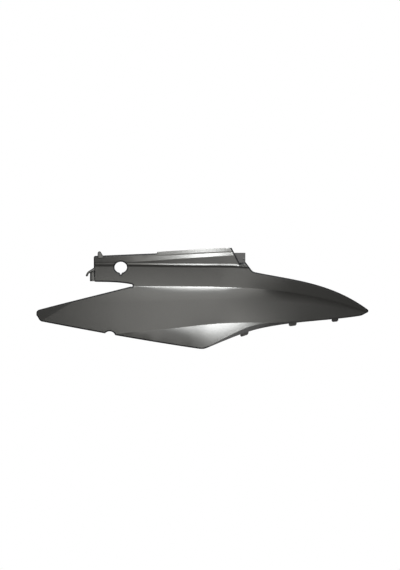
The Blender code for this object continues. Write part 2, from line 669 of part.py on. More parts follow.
def lower_tab(index, x, width):
    """A tab that hangs from the lower rear edge and follows it."""
    edge_z, edge_width = float(curve(x, TAIL_BOTTOM)), float(curve(x, RETURN_WIDTH))
    top_z = edge_z + edge_width
    drop = math.tan(math.radians(RETURN_ANGLE)) * max(edge_width - LOWER_TAB_RISE, 0)
    front = float(face_depth(x, top_z)) + drop + LOWER_TAB_OVERLAP
    turn = math.atan(float(face_depth(x + width, top_z) - face_depth(x - width, top_z))
                     / (2 * width))
    slope = float(curve(x + width, TAIL_BOTTOM) - curve(x - width, TAIL_BOTTOM)) / (2 * width)
    half, cut = width / 2, LOWER_TAB_CHAMFER
    foot, head = -LOWER_TAB_DROP, LOWER_TAB_RISE + WALL
    profile = [(-half, foot + cut), (-half + cut, foot), (half - cut, foot),
               (half, foot + cut), (half, head), (-half, head)]
    profile = [(u, v + slope * u) for u, v in profile]

    def to_point(u, v, y):
        return (x + u * math.cos(turn) - y * math.sin(turn),
                front + u * math.sin(turn) + y * math.cos(turn), edge_z + v)

    return prism(f"lower_tab_{index}", profile, to_point, 0.0, WALL)


def rib(index, x):
    """A rib in the corner behind the shoulder, following the inner face."""
    lines = guide_lines(np.array([x]))
    low = float(lines["groove"][0]) - RIB_DEPTH
    high = float(lines["ledge"][0]) - 2 * LEDGE_STEP_WIDTH
    heights = np.linspace(low, high, RIB_STEPS + 1)
    skin = [(float(face_depth(x, z) + wall_depth(x, z) / 2), z) for z in heights]
    back = max(y for y, _ in skin) + WALL / 2
    profile = skin + [(back, high), (skin[0][0] + WALL, low)]
    half = RIB_THICKNESS / 2
    return prism(f"rib_{index}", profile, lambda y, z, t: (x + t, y, z), -half, half)


def arm_end():
    """Ear on the top edge at the front end of the arm, and the hook and lug below it."""
    def placed(points):
        return [(ARM_X + x, z) for x, z in points]

    ear_front = float(face_depth(ARM_X + EAR[0][0], curve(ARM_X, ARM_TOP)))
    ear = chamfered("ear", placed(EAR), ear_front, ear_front + EAR_THICKNESS)
    hook_front = float(face_depth(ARM_X, HOOK[0][1])) + CHAMFER
    hook = chamfered("hook", placed(HOOK), hook_front, hook_front + HOOK_THICKNESS)
    radius = LUG_REACH / 2
    lug_front = float(face_depth(ARM_X, (LUG_TOP + LUG_FOOT) / 2)) + CHAMFER
    profile = [(ARM_X + LUG_ROOT, lug_front + 2 * radius), (ARM_X + LUG_ROOT, lug_front)]
    profile += [(ARM_X - radius - radius * math.sin(a), lug_front + radius - radius * math.cos(a))
                for a in np.linspace(0, math.pi, LUG_SIDES + 1)]
    lug = prism("lug", profile, lambda x, y, z: (x, y, z), LUG_FOOT, LUG_TOP)
    return [ear, hook, lug]


def paint():
    material = bpy.data.materials.new("anthracite_paint")
    material.use_nodes = True
    shader = material.node_tree.nodes["Principled BSDF"]
    shader.inputs["Base Color"].default_value = PAINT_COLOUR
    shader.inputs["Metallic"].default_value = PAINT_METALLIC
    shader.inputs["Roughness"].default_value = PAINT_ROUGHNESS
    return material


def side_panel():
    """The whole panel: the moulded wall with everything that grows out of it."""
    panel = make_object("side_panel", *shell_mesh())
    panel.data.materials.append(paint())
    grown = rear_tab() + arm_end()
    grown += [lower_tab(i + 1, x, width) for i, (x, width) in enumerate(LOWER_TABS)]
    grown += [rib(i + 1, x) for i, x in enumerate(np.linspace(RIB_FIRST_X, RIB_LAST_X, RIB_COUNT))]
    for piece in grown:
        piece.hide_render = True
        piece.display_type = "WIRE"
        union = panel.modifiers.new(piece.name, "BOOLEAN")
        union.operation = "UNION"
        union.solver = "EXACT"
        union.object = piece
    panel.data.shade_smooth()
    panel.data.set_sharp_from_angle(angle=math.radians(SHARP_ANGLE))
    return panel


clear_scene()
side_panel()
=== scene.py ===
# %% [markdown]
# # The left side panel of a scooter's rear body
#
# This panel is one thin plastic moulding. Its outside is sprayed in a dark metallic
# grey and its back is left as bare black plastic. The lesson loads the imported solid,
# then makes the same wall again with a much finer mesh and lines that lie a little closer
# to the photograph, so that light runs over its creases as it does over real bodywork.

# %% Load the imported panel
import math

import bmesh
import bpy
import numpy as np
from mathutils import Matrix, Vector
from mathutils.geometry import delaunay_2d_cdt


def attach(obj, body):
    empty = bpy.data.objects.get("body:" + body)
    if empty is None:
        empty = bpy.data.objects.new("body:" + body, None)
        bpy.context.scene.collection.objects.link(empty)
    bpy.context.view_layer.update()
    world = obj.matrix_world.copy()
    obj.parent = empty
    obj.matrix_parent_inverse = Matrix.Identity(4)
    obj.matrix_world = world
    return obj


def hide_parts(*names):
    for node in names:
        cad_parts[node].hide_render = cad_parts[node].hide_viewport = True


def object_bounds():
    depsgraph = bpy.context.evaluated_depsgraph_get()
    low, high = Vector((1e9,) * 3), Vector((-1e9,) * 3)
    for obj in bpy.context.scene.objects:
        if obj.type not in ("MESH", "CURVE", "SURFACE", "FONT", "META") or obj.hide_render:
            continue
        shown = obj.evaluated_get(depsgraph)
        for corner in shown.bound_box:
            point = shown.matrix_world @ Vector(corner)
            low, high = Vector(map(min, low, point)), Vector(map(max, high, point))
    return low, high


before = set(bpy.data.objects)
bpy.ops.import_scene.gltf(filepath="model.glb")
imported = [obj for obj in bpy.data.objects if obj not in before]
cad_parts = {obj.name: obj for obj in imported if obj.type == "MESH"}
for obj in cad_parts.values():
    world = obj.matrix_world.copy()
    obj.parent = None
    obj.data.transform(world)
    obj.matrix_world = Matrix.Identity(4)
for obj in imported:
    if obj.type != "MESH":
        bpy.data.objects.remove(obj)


def box_sides(low, high):
    """Sides of the box between two corners, in metres."""
    return [round(b - a, 4) for a, b in zip(low, high)]


solid_low, solid_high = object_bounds()
print("solid panel, in metres:", box_sides(solid_low, solid_high))

# %% [markdown]
# ## The camera
#
# The panel was photographed square to its painted face from far away, so hardly any
# perspective shows. An orthographic camera would do, but a long lens twelve metres away
# gives the same view and also works from any other side.

# %% Set up the camera
MM = 0.001
PHOTO_HEIGHT = 1225.5
CAMERA_DISTANCE = 12000.0
FARTHEST_SEEN = 100000.0
PHOTO_MIDDLE = (-87.1, -58.05)

lens = bpy.data.cameras.new("long_lens")
lens.lens = lens.sensor_width * CAMERA_DISTANCE / PHOTO_HEIGHT
lens.clip_end = FARTHEST_SEEN * MM
camera = bpy.data.objects.new("photo_camera", lens)
camera.location = Vector((PHOTO_MIDDLE[0], -CAMERA_DISTANCE, PHOTO_MIDDLE[1])) * MM
camera.rotation_euler = (math.radians(90), 0, 0)
bpy.context.collection.objects.link(camera)
bpy.context.scene.camera = camera
print("lens", round(lens.lens, 1), "mm")

# %% [markdown]
# ## Light
#
# Dark bodywork is mostly seen by what it reflects. A soft box hangs in front of the panel
# and above it, so that each stretch of the face that leans back catches it and shines,
# while the upright stretches stay grey. A larger one straight in front fills those, and a
# weak one low on the left lifts the front half. Another behind the panel shows the ribs to
# whoever walks round it. The first is a cool white, because the paint is a warm grey and
# its highlights are neutral. Lamps are hidden from the camera, as only their light is wanted.

# %% Hang the soft boxes
WHITE = (1.0, 1.0, 1.0)
COOL_WHITE = (0.94, 0.965, 1.0)
# Name, place and target in metres, width, height, watts and colour.
SOFT_BOXES = (
    ("top_soft_box", (-0.065, -0.46, 0.64), (-0.065, 0.0, -0.06), 0.22, 0.26, 5.7, COOL_WHITE),
    ("front_fill", (-0.12, -1.6, 0.20), (-0.12, 0.0, -0.08), 0.9, 1.3, 5.85, WHITE),
    ("low_fill", (-0.45, -1.5, -0.5), (-0.15, 0.0, -0.05), 0.8, 0.5, 0.6, WHITE),
    ("back_fill", (-0.08, 1.5, 0.1), (-0.08, 0.0, -0.08), 0.9, 0.9, 12.0, WHITE),
)

for name, place, target, width, height, watts, colour in SOFT_BOXES:
    light = bpy.data.lights.new(name, "AREA")
    light.shape = "RECTANGLE"
    light.size, light.size_y, light.energy, light.color = width, height, watts, colour
    lamp = bpy.data.objects.new(name, light)
    lamp.location = place
    lamp.rotation_euler = (Vector(target) - Vector(place)).to_track_quat("-Z", "Y").to_euler()
    lamp.visible_camera = False
    bpy.context.collection.objects.link(lamp)
    print(name, watts, "W")

# %% [markdown]
# ## A white room
#
# The photograph has a plain white ground. Lamps that turn a backdrop white would also wash
# out the panel, so the world is white only where the camera looks at it. Its part straight
# behind the panel is white in reflections too, as a real backdrop would be, and the rest
# stays dim.

# %% Make the world
BACKDROP_FADE = math.cos(math.radians(22))
BACKDROP_EDGE = math.cos(math.radians(12))
ROOM_COLOUR = (0.03, 0.03, 0.03, 1)


def connect(tree, node, inputs):
    """Sets each input of a node, or links it where an output of another node is given."""
    for name, value in inputs.items():
        if isinstance(value, bpy.types.NodeSocket):
            tree.links.new(value, node.inputs[name])
        else:
            node.inputs[name].default_value = value


def add_node(tree, kind, inputs, **settings):
    """The outputs of a new node with these settings and inputs."""
    node = tree.nodes.new("ShaderNode" + kind)
    for name, value in settings.items():
        setattr(node, name, value)
    connect(tree, node, inputs)
    return node.outputs


def combined(tree, operation, first, second):
    """The result of an operation on two outputs or numbers."""
    return add_node(tree, "Math", {0: first, 1: second}, operation=operation)[0]


world = bpy.data.worlds.new("studio")
world.use_nodes = True
bpy.context.scene.world = world
tree = world.node_tree
tree.nodes.clear()
ray = add_node(tree, "LightPath", {})
direction = add_node(tree, "SeparateXYZ", {0: add_node(tree, "TexCoord", {})["Generated"]})
behind = add_node(tree, "MapRange", {"Value": direction["Y"], "From Min": BACKDROP_FADE,
                                     "From Max": BACKDROP_EDGE})["Result"]
in_mirror = combined(tree, "MULTIPLY", behind, ray["Is Glossy Ray"])
seen = combined(tree, "MAXIMUM", ray["Is Camera Ray"], ray["Is Transmission Ray"])
colour = add_node(tree, "Mix", {"Factor": combined(tree, "MAXIMUM", seen, in_mirror),
                                "A": ROOM_COLOUR, "B": (*WHITE, 1)}, data_type="RGBA")
background = add_node(tree, "Background", {"Color": colour["Result"]})
add_node(tree, "OutputWorld", {"Surface": background[0]})
bpy.context.scene.view_settings.view_transform = "Standard"
print("world nodes:", len(tree.nodes))

# %% [markdown]
# ## The floor
#
# The panel hangs from its rear tab, so the floor lies well below it, out of the
# photograph's view. It catches a soft shadow in a view from above, and fades to the white
# of the room so that its edge doesn't show. Only the camera sees it as white: for every
# other ray it is a dim grey, because the sides that face down are dark in the photograph.

# %% Lay the floor
FLOOR_DEPTH = -0.75
FLOOR_RADIUS = 1.5
FLOOR_SIDES = 96
FLOOR_COLOUR = (0.93, 0.93, 0.93, 1)
FLOOR_ROUGHNESS = 0.9
FLOOR_BOUNCE = 0.1
FADE_START = FLOOR_RADIUS / 3
FADE_END = FLOOR_RADIUS * 0.97


def spread(tree, factor, low, high):
    """The factor from 0 to 1 stretched to run from low to high."""
    return add_node(tree, "MapRange", {"Value": factor, "To Min": low, "To Max": high})["Result"]


disc = bmesh.new()
bmesh.ops.create_circle(disc, cap_ends=True, radius=FLOOR_RADIUS, segments=FLOOR_SIDES)
floor_mesh = bpy.data.meshes.new("floor")
disc.to_mesh(floor_mesh)
disc.free()
floor = bpy.data.objects.new("floor", floor_mesh)
floor.location = (0, 0, FLOOR_DEPTH)
bpy.context.collection.objects.link(floor)

pale = bpy.data.materials.new("pale_floor")
pale.use_nodes = True
tree = pale.node_tree
matt = tree.nodes["Principled BSDF"]
connect(tree, matt, {"Base Color": FLOOR_COLOUR, "Roughness": FLOOR_ROUGHNESS})
reach = add_node(tree, "VectorMath", {0: add_node(tree, "TexCoord", {})["Object"]},
                 operation="LENGTH")["Value"]
fade = add_node(tree, "MapRange", {"Value": reach, "From Min": FADE_START, "From Max": FADE_END},
                interpolation_type="SMOOTHSTEP")["Result"]
from_camera = add_node(tree, "LightPath", {})["Is Camera Ray"]
faded = combined(tree, "MAXIMUM", fade, combined(tree, "SUBTRACT", 1.0, from_camera))
glow = add_node(tree, "Emission", {"Strength": spread(tree, from_camera, FLOOR_BOUNCE, 1.0)})[0]
blend = add_node(tree, "MixShader", {"Fac": faded, 1: matt.outputs["BSDF"], 2: glow})[0]
connect(tree, tree.nodes["Material Output"], {"Surface": blend})
floor_mesh.materials.append(pale)
print("floor", FLOOR_RADIUS * 2, "m across,", FLOOR_DEPTH, "m down")

# %% [markdown]
# ## The paint
#
# The outside has a dark metallic paint under a thin clear coat. Its flakes tilt a little
# each way, which spreads the highlights, and the coat has dried with a faint ripple. A flat
# grey would miss both, so cells less than half a millimetre wide stand for the flakes and a
# smooth noise a few millimetres wide for the ripple.

# %% Mix the metallic paint
PAINT_COLOUR = (0.150, 0.147, 0.136, 1)
PAINT_METALLIC = 0.55
PAINT_ROUGHNESS = 0.36
ROUGHNESS_CHANGE = 0.03
CLOUDS_PER_METRE = 18.0
COAT_WEIGHT = 0.25
COAT_ROUGHNESS = 0.22
FLAKES_PER_METRE = 2400.0
FLAKE_TINT = 0.10
FLAKE_DEPTH = 0.000003
RIPPLES_PER_METRE = 260.0
RIPPLE_DEPTH = 0.000003


def textured(name, colour, roughness):
    """A material with its tree and shader, and the place on the object in metres."""
    material = bpy.data.materials.new(name)
    material.use_nodes = True
    tree = material.node_tree
    shader = tree.nodes["Principled BSDF"]
    connect(tree, shader, {"Base Color": colour, "Roughness": roughness})
    return material, tree, shader, add_node(tree, "TexCoord", {})["Object"]


def noise(tree, place, scale, detail=2.0):
    """Smooth noise with a number of waves to the metre."""
    inputs = {"Vector": place, "Scale": scale, "Detail": detail}
    return add_node(tree, "TexNoise", inputs)["Fac"]


def around(tree, factor, middle, change):
    """The factor from 0 to 1 stretched to a change each way around a middle."""
    return spread(tree, factor, middle - change, middle + change)


def tinted(tree, colour, factor, change):
    """The colour made darker and lighter by a change each way."""
    inputs = {0: colour[:3], "Scale": around(tree, factor, 1.0, change)}
    return add_node(tree, "VectorMath", inputs, operation="SCALE")["Vector"]


def bumped(tree, height, depth, under={}):
    """A bump of a depth in metres, on top of another one if there is one."""
    return add_node(tree, "Bump", {"Distance": depth, "Height": height, **under})["Normal"]


paint, tree, shader, place = textured("metallic_paint", PAINT_COLOUR, PAINT_ROUGHNESS)
cells = add_node(tree, "TexVoronoi", {"Vector": place, "Scale": FLAKES_PER_METRE})["Color"]
flake = add_node(tree, "SeparateColor", {"Color": cells})
cloud = noise(tree, place, CLOUDS_PER_METRE)
ripple = bumped(tree, noise(tree, place, RIPPLES_PER_METRE, 1.0), RIPPLE_DEPTH)
connect(tree, shader, {
    "Metallic": PAINT_METALLIC, "Coat Weight": COAT_WEIGHT, "Coat Roughness": COAT_ROUGHNESS,
    "Base Color": tinted(tree, PAINT_COLOUR, flake["Red"], FLAKE_TINT),
    "Roughness": around(tree, cloud, PAINT_ROUGHNESS, ROUGHNESS_CHANGE),
    "Normal": bumped(tree, flake["Green"], FLAKE_DEPTH, {"Normal": ripple})})
print(paint.name, "has", len(tree.nodes), "nodes")

# %% [markdown]
# ## Thin paint and painted shade
#
# The spray gun points at the outside, so the flange below the facet and the tabs get only
# a thin coat, which the black plastic darkens. The darker colour also paints the shade
# that the facet's edge casts on the flange, and the shade on the tabs that sit back. One
# more material with a darker colour and a duller finish does this without painting a mask.

# %% Mix the thin paint, which paints shade too
THIN_AND_SHADED_PAINT_COLOUR = (0.12, 0.117, 0.112, 1)
THIN_AND_SHADED_PAINT_ROUGHNESS = 0.45
THIN_AND_SHADED_PAINT_CHANGE = 0.05
SPECKS_PER_METRE = 900.0
SPECK_TINT = 0.15
SPECK_DEPTH = 0.00001

thin_and_shaded_paint, tree, shader, place = textured("thin_and_shaded_paint", THIN_AND_SHADED_PAINT_COLOUR, THIN_AND_SHADED_PAINT_ROUGHNESS)
speck = noise(tree, place, SPECKS_PER_METRE)
connect(tree, shader, {
    "Metallic": PAINT_METALLIC,
    "Base Color": tinted(tree, THIN_AND_SHADED_PAINT_COLOUR, speck, SPECK_TINT),
    "Roughness": around(tree, speck, THIN_AND_SHADED_PAINT_ROUGHNESS, THIN_AND_SHADED_PAINT_CHANGE),
    "Normal": bumped(tree, speck, SPECK_DEPTH)})
print(thin_and_shaded_paint.name, "has", len(tree.nodes), "nodes")

# %% [markdown]
# ## The bare plastic
#
# The back of such a panel is never painted. It is black plastic with the fine grain of the
# mould, dusted near the edges by spray that drifted round them. The grain is a small bump.
# The drift is a value kept on the mesh that fades from the lip inwards, broken up by noise
# so that it looks like dust and not like a gradient.

# %% Mix the bare plastic
PLASTIC_COLOUR = (0.028, 0.028, 0.029, 1)
PLASTIC_ROUGHNESS = 0.6
PLASTIC_CHANGE = 0.08
PLASTIC_SHINE = 0.3
GRAINS_PER_METRE = 1600.0
GRAIN_DEPTH = 0.00004
FLOW_PER_METRE = 9.0
FLOW_TINT = 0.15
DUST_PER_METRE = 420.0
LEAST_DUST = 0.35
MOST_DUST = 1.3

plastic, tree, shader, place = textured("bare_plastic", PLASTIC_COLOUR, PLASTIC_ROUGHNESS)
grain = noise(tree, place, GRAINS_PER_METRE, 3.0)
drift = add_node(tree, "Attribute", {}, attribute_name="overspray")["Fac"]
patches = spread(tree, noise(tree, place, DUST_PER_METRE, 4.0), LEAST_DUST, MOST_DUST)
flow = tinted(tree, PLASTIC_COLOUR, noise(tree, place, FLOW_PER_METRE), FLOW_TINT)
dusty = add_node(tree, "Mix", {"Factor": combined(tree, "MULTIPLY", drift, patches), "A": flow,
                               "B": PAINT_COLOUR}, data_type="RGBA")["Result"]
connect(tree, shader, {
    "Specular IOR Level": PLASTIC_SHINE, "Base Color": dusty,
    "Roughness": around(tree, grain, PLASTIC_ROUGHNESS, PLASTIC_CHANGE),
    "Normal": bumped(tree, grain, GRAIN_DEPTH)})
print(plastic.name, "has", len(tree.nodes), "nodes")

# %% [markdown]
# ## Lines across the panel
#
# A stylist draws such a panel with a few lines that run its whole length. Each is a smooth
# curve through stations: a place along the panel, the height and the slope there. A drawn
# curve object would do for one line, but a formula can be asked for its height anywhere,
# and the whole surface hangs on that.

# %% Draw a curve through stations
def curve(x, stations):
    """Value at x of the smooth curve through stations of (x, value, slope in degrees)."""
    x = np.asarray(x, float)
    xs, zs, angles = (np.array(column, float) for column in zip(*stations))
    slopes = np.tan(np.radians(angles))
    i = np.clip(np.searchsorted(xs, x) - 1, 0, len(xs) - 2)
    run = xs[i + 1] - xs[i]
    t = np.clip((x - xs[i]) / run, 0, 1)
    z = (1 + 2 * t) * (1 - t) ** 2 * zs[i] + t * t * (3 - 2 * t) * zs[i + 1]
    z = z + t * (1 - t) ** 2 * run * slopes[i] + t * t * (t - 1) * run * slopes[i + 1]
    before, after = np.minimum(x - xs[0], 0), np.maximum(x - xs[-1], 0)
    return z + before * slopes[0] + after * slopes[-1]


def tilt_at(x, stations):
    """Tilt in degrees at x of the smooth curve through stations of (x, degrees)."""
    xs, degrees = (np.array(column, float) for column in zip(*stations))
    slopes = np.zeros(len(xs))
    slopes[1:-1] = (degrees[2:] - degrees[:-2]) / (xs[2:] - xs[:-2])
    return curve(x, list(zip(xs, degrees, np.degrees(np.arctan(slopes)))))

# %% [markdown]
# ## The outline
#
# These are the edges of the panel: the blade that runs to the nose, the arm with the lock
# hole, the ledge that carries the seat, and the sharp tail. A few stations give a smoother
# edge than many traced points would. Sizes are in millimetres, as in the solid's drawing.

# %% Set the places that the edges share
NOSE_X = -439.0
TAIL_X = 279.8
ARM_X = -315.4
LEDGE_START_X = -178.4
LEDGE_END_X = -19.0
CROTCH_X = -228.0
CORNER_X = -80.0
MIDDLE_X = -87.0
print("panel from", NOSE_X, "to", TAIL_X, "mm")

# %% Set the edges
BLADE_TOP = ((NOSE_X, -112.6, 15), (CROTCH_X, -59.2, 14.4))
BLADE_BOTTOM = ((NOSE_X, -134.4, -11), (CORNER_X, -196.2, -8))
ARM_BOTTOM = ((ARM_X, -51.2, -1), (CROTCH_X, -58, -13))
ARM_TOP = ((ARM_X, 4.5, 2.4), (LEDGE_START_X, 10.1, 2))
LEDGE_TOP = ((LEDGE_START_X, 13.3, 3.4), (LEDGE_END_X, 21.8, 1.5))
FACET_END = (CORNER_X, -196.2, 22.0)
TAIL_BOTTOM = (FACET_END, (46.0, -150.6, 12.0), (261.0, -124.2, 9.0))
TAIL_TOP = ((24.7, -29, -12.2), (TAIL_X, -114.5, -37))
NOSE_FRONT_TOP = (-444.0, -114.4)
NOSE_FRONT_FOOT = (-431.5, -135.6)
SHOULDER_END = (10.9, -9.0)
TAB_STEP = (-1.6, -12.6)
print("height of the blade at the crotch:",
      round(float(curve(CROTCH_X, BLADE_TOP) - curve(CROTCH_X, BLADE_BOTTOM)), 1), "mm")

# %% [markdown]
# ## Where the face changes its tilt
#
# Between two of the styling lines the face keeps nearly the same tilt, and along a line it
# turns sharply. The groove below the shoulder draws a thin dark line, and the long
# character line gives the panel its waist. Creases marked on a finished mesh would have to
# follow its rows, so here the lines come first, from the top down, and the mesh follows.

# %% Set the styling lines
LEDGE_LINE = ((LEDGE_START_X, 6.3, 3.1), (LEDGE_END_X, 14.8, 3.1))
DIAGONAL = ((-248, -9.4, 3.6), (-12, 5.8, 3.6))
SHOULDER_TOP = ((ARM_X, -10.6, 0), (-237, -10.7, -0.5), (-108, -12, -0.4), (-27, -12.4, -0.6),
                (SHOULDER_END[0], -13.4, -2.5))
SHOULDER_FOOT = ((ARM_X, -14, 0), (-237, -14.2, -0.5), (-108, -15.8, -0.5), (-27, -16.3, -1),
                 (SHOULDER_END[0], -18.2, -4))
CHARACTER_LINE = ((NOSE_X, -61, 0), (CROTCH_X, -60.2, -0.8), (TAIL_X, -117.6, -21))
LOWER_CREASE = ((NOSE_X, -176, 2), (-248, -161.4, 7), (-92, -144.8, 7), (46, -138.2, 0))
GROOVE_WIDTH = 5.2
LEDGE_STEP_WIDTH = 1.8
LEDGE_RISE = 10.4
SOFT_LINE_SHARE = 0.36
CREASE_CLEARANCE = 2.4
RETURN_WIDTH = ((CORNER_X, 2.4, 3), (-22, 6, 5), (20, 9.6, 2), (46, 9.2, -4), (100, 4.2, -3),
                (262, 3, 0))


def guide_lines(x):
    """Heights at x of the lines where the face changes its tilt, from the top down."""
    shoulder_top = curve(x, SHOULDER_TOP)
    shoulder_foot = curve(x, SHOULDER_FOOT)
    character = curve(x, CHARACTER_LINE)
    edge = np.where(x < CORNER_X, curve(x, BLADE_BOTTOM),
                    curve(x, TAIL_BOTTOM) + curve(x, RETURN_WIDTH))
    crease = curve(x, LOWER_CREASE)
    soft = character + SOFT_LINE_SHARE * (np.maximum(crease, edge) - character)
    crease = np.where(x < CORNER_X, crease, np.maximum(crease, edge + CREASE_CLEARANCE))
    foot = np.minimum(curve(x, BLADE_BOTTOM), crease - CREASE_CLEARANCE)
    return dict(ledge=curve(x, LEDGE_LINE),
                diagonal=np.maximum(curve(x, DIAGONAL), shoulder_top + CREASE_CLEARANCE),
                shoulder_top=shoulder_top, shoulder_foot=shoulder_foot,
                groove=shoulder_foot - GROOVE_WIDTH, character=character, soft=soft,
                crease=crease, foot=foot)


print("lines:", ", ".join(guide_lines(np.array([MIDDLE_X]))))

# %% [markdown]
# ## How far each stretch leans
#
# A stretch that leans back catches the soft box and shines, and one that leans forward
# goes dark. These angles were chosen by how bright each stretch is in the photograph. The
# face could be sculpted, but an angle can be changed by one degree along its whole length.

# %% Set the tilts
LEDGE_TILT = ((ARM_X, -15), (-214, -2), (LEDGE_START_X - 2, 8), (LEDGE_START_X + 5, 15.5),
              (-140, 18), (-100, 21), (-70, 21.5), (-44, 20), (LEDGE_END_X, 17.5))
LEDGE_STEP_TILT = ((ARM_X, -15), (-242, -9), (-214, 0), (-195, 8), (LEDGE_START_X + 5, 5))
FLANGE_TILT = ((ARM_X, -15), (-242, -9), (-214, 0), (-195, 12), (-172, 18), (-140, 20.5),
               (-110, 23.2), (-75, 25.6), (-44, 22.8), (LEDGE_END_X, 20.5))
SIDE_TILT = ((ARM_X, -22), (-270, -19), (-240, -18), (-200, -16.5), (-140, -10.5),
             (LEDGE_END_X, -7))
SHOULDER_TILT = ((ARM_X, -13), (-242, -5), (-214, 3), (-195, 16.5), (-160, 20.5), (-100, 23.5),
                 (-27, 22.5), (TAB_STEP[0] - 1, 28), (TAB_STEP[0] + 3.5, 52))
GROOVE_TILT = ((ARM_X, -40), (-160, -45), (SHOULDER_END[0], -40))
BAND_FOOT_TILT = ((-300, -5), (-100, -6), (0, -6), (110, -17), (200, -18))
FILLET_TILT = ((-240, 28), (-120, 33), (-10, 26), (45, -3), (105, -35))
SOFT_TILT = ((-400, 1), (-220, -2), (-60, 0), (20, 1), (120, 5), (200, 0))
CREASE_TOP_TILT = ((-400, -5), (-220, 1), (-60, -3), (20, 6), (130, 9), (200, 6))
BAND_TOP_TILT = ((-300, -10.5), (-100, -10), (0, -7.5), (90, -10), (180, -15.5))
BODY_TILT = ((-400, 4), (-220, 15), (-170, 22.3), (-110, 25.2), (-60, 24.3), (-30, 22), (40, -3),
             (110, -27))
FACET_TILT = ((-245, -12), (-195, 13), (-173, 18), (-152, 23), (-130, 26.5), (-100, 28.8),
              (-60, 29.5), (0, 26.5), (40, 24), (80, 5))
FOOT_TILT = ((-400, 0), (-245, -4), (-130, 9), (-100, 16), (-60, 18.5), (20, 18))
FILLET_WIDTH = 3.0
CREASE_WIDTH = 1.2
SMALLEST_STEP = 0.05
BODY_LIP = 10.0


def face_section(x):
    """Heights and slopes of the section of the face at x from the top down, and which of
    them is the soft line."""
    line = guide_lines(x)
    half = CREASE_WIDTH / 2
    step_foot = line["ledge"] - LEDGE_STEP_WIDTH
    fillet_foot = line["character"] - FILLET_WIDTH

    def crease(name, above, below):
        return (line[name] + half, above), (line[name] - half, below)

    knots = [
        (line["ledge"] + LEDGE_RISE, LEDGE_TILT), *crease("ledge", LEDGE_TILT, LEDGE_STEP_TILT),
        (step_foot, LEDGE_STEP_TILT), (step_foot - half, FLANGE_TILT),
        *crease("diagonal", FLANGE_TILT, SIDE_TILT),
        *crease("shoulder_top", SIDE_TILT, SHOULDER_TILT),
        *crease("shoulder_foot", SHOULDER_TILT, GROOVE_TILT), (line["groove"], BAND_TOP_TILT),
        *crease("character", BAND_FOOT_TILT, FILLET_TILT), (fillet_foot, BODY_TILT),
        (line["soft"], SOFT_TILT), *crease("crease", CREASE_TOP_TILT, FACET_TILT),
        (line["foot"], FOOT_TILT), (line["foot"] - BODY_LIP, FOOT_TILT),
    ]
    heights, slopes = [], []
    for height, tilt in knots:
        if heights:
            height = np.minimum(height, heights[-1] - SMALLEST_STEP)
        heights.append(height)
        slopes.append(np.tan(np.radians(tilt_at(x, tilt))))
    return np.array(heights), np.array(slopes), [tilt for _, tilt in knots].index(SOFT_TILT)


print("stretches of the face:", len(face_section(np.array([MIDDLE_X]))[0]) - 1)

# %% [markdown]
# ## The panel seen from above
#
# Seen from above the panel is a shallow bow: the tail sweeps in behind the seat and the
# nose turns in towards the rider's heel, with one more bend along a slanting line. A Bend
# modifier would also pull the outline out of place. A depth that is added to each point
# leaves the view from the side as it was drawn.

# %% Bow the panel and bend its nose
MIDDLE_DEPTH = -13.2
NOSE_SWEEP = 24.0
TAIL_SWEEP = 60.0
NOSE_BEND_LOW = (-427.0, -133.5)
NOSE_BEND_HIGH = (-383.8, -107.5)
NOSE_BEND = 26.0
NOSE_BEND_WIDTH = 4.0
NOSE_BEND_STEP = 8.0
WALL = 2.5


def plan_depth(x):
    """Depth of the soft line, which gives the panel its curve seen from above."""
    to_tail = np.maximum(x - MIDDLE_X, 0) / (TAIL_X - MIDDLE_X)
    to_nose = np.maximum(MIDDLE_X - x, 0) / (MIDDLE_X - NOSE_X)
    return MIDDLE_DEPTH + TAIL_SWEEP * to_tail**2 + NOSE_SWEEP * to_nose**2


def bend_line():
    """A point of the slanting line and its direction."""
    low, high = np.array(NOSE_BEND_LOW), np.array(NOSE_BEND_HIGH)
    return low, (high - low) / np.linalg.norm(high - low)


def nose_bend(x, z):
    """Extra depth beyond the slanting line where the nose is bent inwards."""
    low, along = bend_line()
    beyond = (z - low[1]) * along[0] - (x - low[0]) * along[1]
    ramp = np.clip(beyond + NOSE_BEND_WIDTH / 2, 0, NOSE_BEND_WIDTH)
    rise = ramp**2 / (2 * NOSE_BEND_WIDTH) + np.maximum(beyond - NOSE_BEND_WIDTH / 2, 0)
    return np.where(x < ARM_X - 2 * WALL, math.tan(math.radians(NOSE_BEND)) * rise, 0)


print("tail sweeps in by", round(float(plan_depth(TAIL_X) - MIDDLE_DEPTH), 1), "mm")

# %% [markdown]
# ## The depth of the face
#
# Adding up the tilts from a line in the middle of the face gives its depth at every
# height. A sculpted mesh would need each crease pushed into place, but one formula keeps
# a crease sharp and clean along the whole panel.

# %% Add up the depth
def face_depth(x, z):
    """Depth (y) of the painted face: its slope added up from the soft line."""
    x, z = np.broadcast_arrays(np.asarray(x, float), np.asarray(z, float))
    shape, x, z = x.shape, x.ravel(), z.ravel()
    heights, slopes, soft = face_section(x)
    gaps = np.diff(heights, axis=0)
    depths = np.zeros_like(heights)
    depths[1:] = np.cumsum(gaps * (slopes[1:] + slopes[:-1]) / 2, axis=0)
    depths -= depths[soft]
    above = np.clip((heights > z).sum(axis=0) - 1, 0, len(heights) - 2)
    at = np.arange(len(x))
    top, foot = heights[above, at], heights[above + 1, at]
    rise = np.clip(z, foot, top) - top
    bend = (slopes[above + 1, at] - slopes[above, at]) / (foot - top)
    depth = depths[above, at] + slopes[above, at] * rise + bend * rise * rise / 2
    depth += np.maximum(z - top, 0) * slopes[above, at]
    depth += np.minimum(z - foot, 0) * slopes[above + 1, at]
    return (depth + plan_depth(x) + nose_bend(x, z)).reshape(shape)


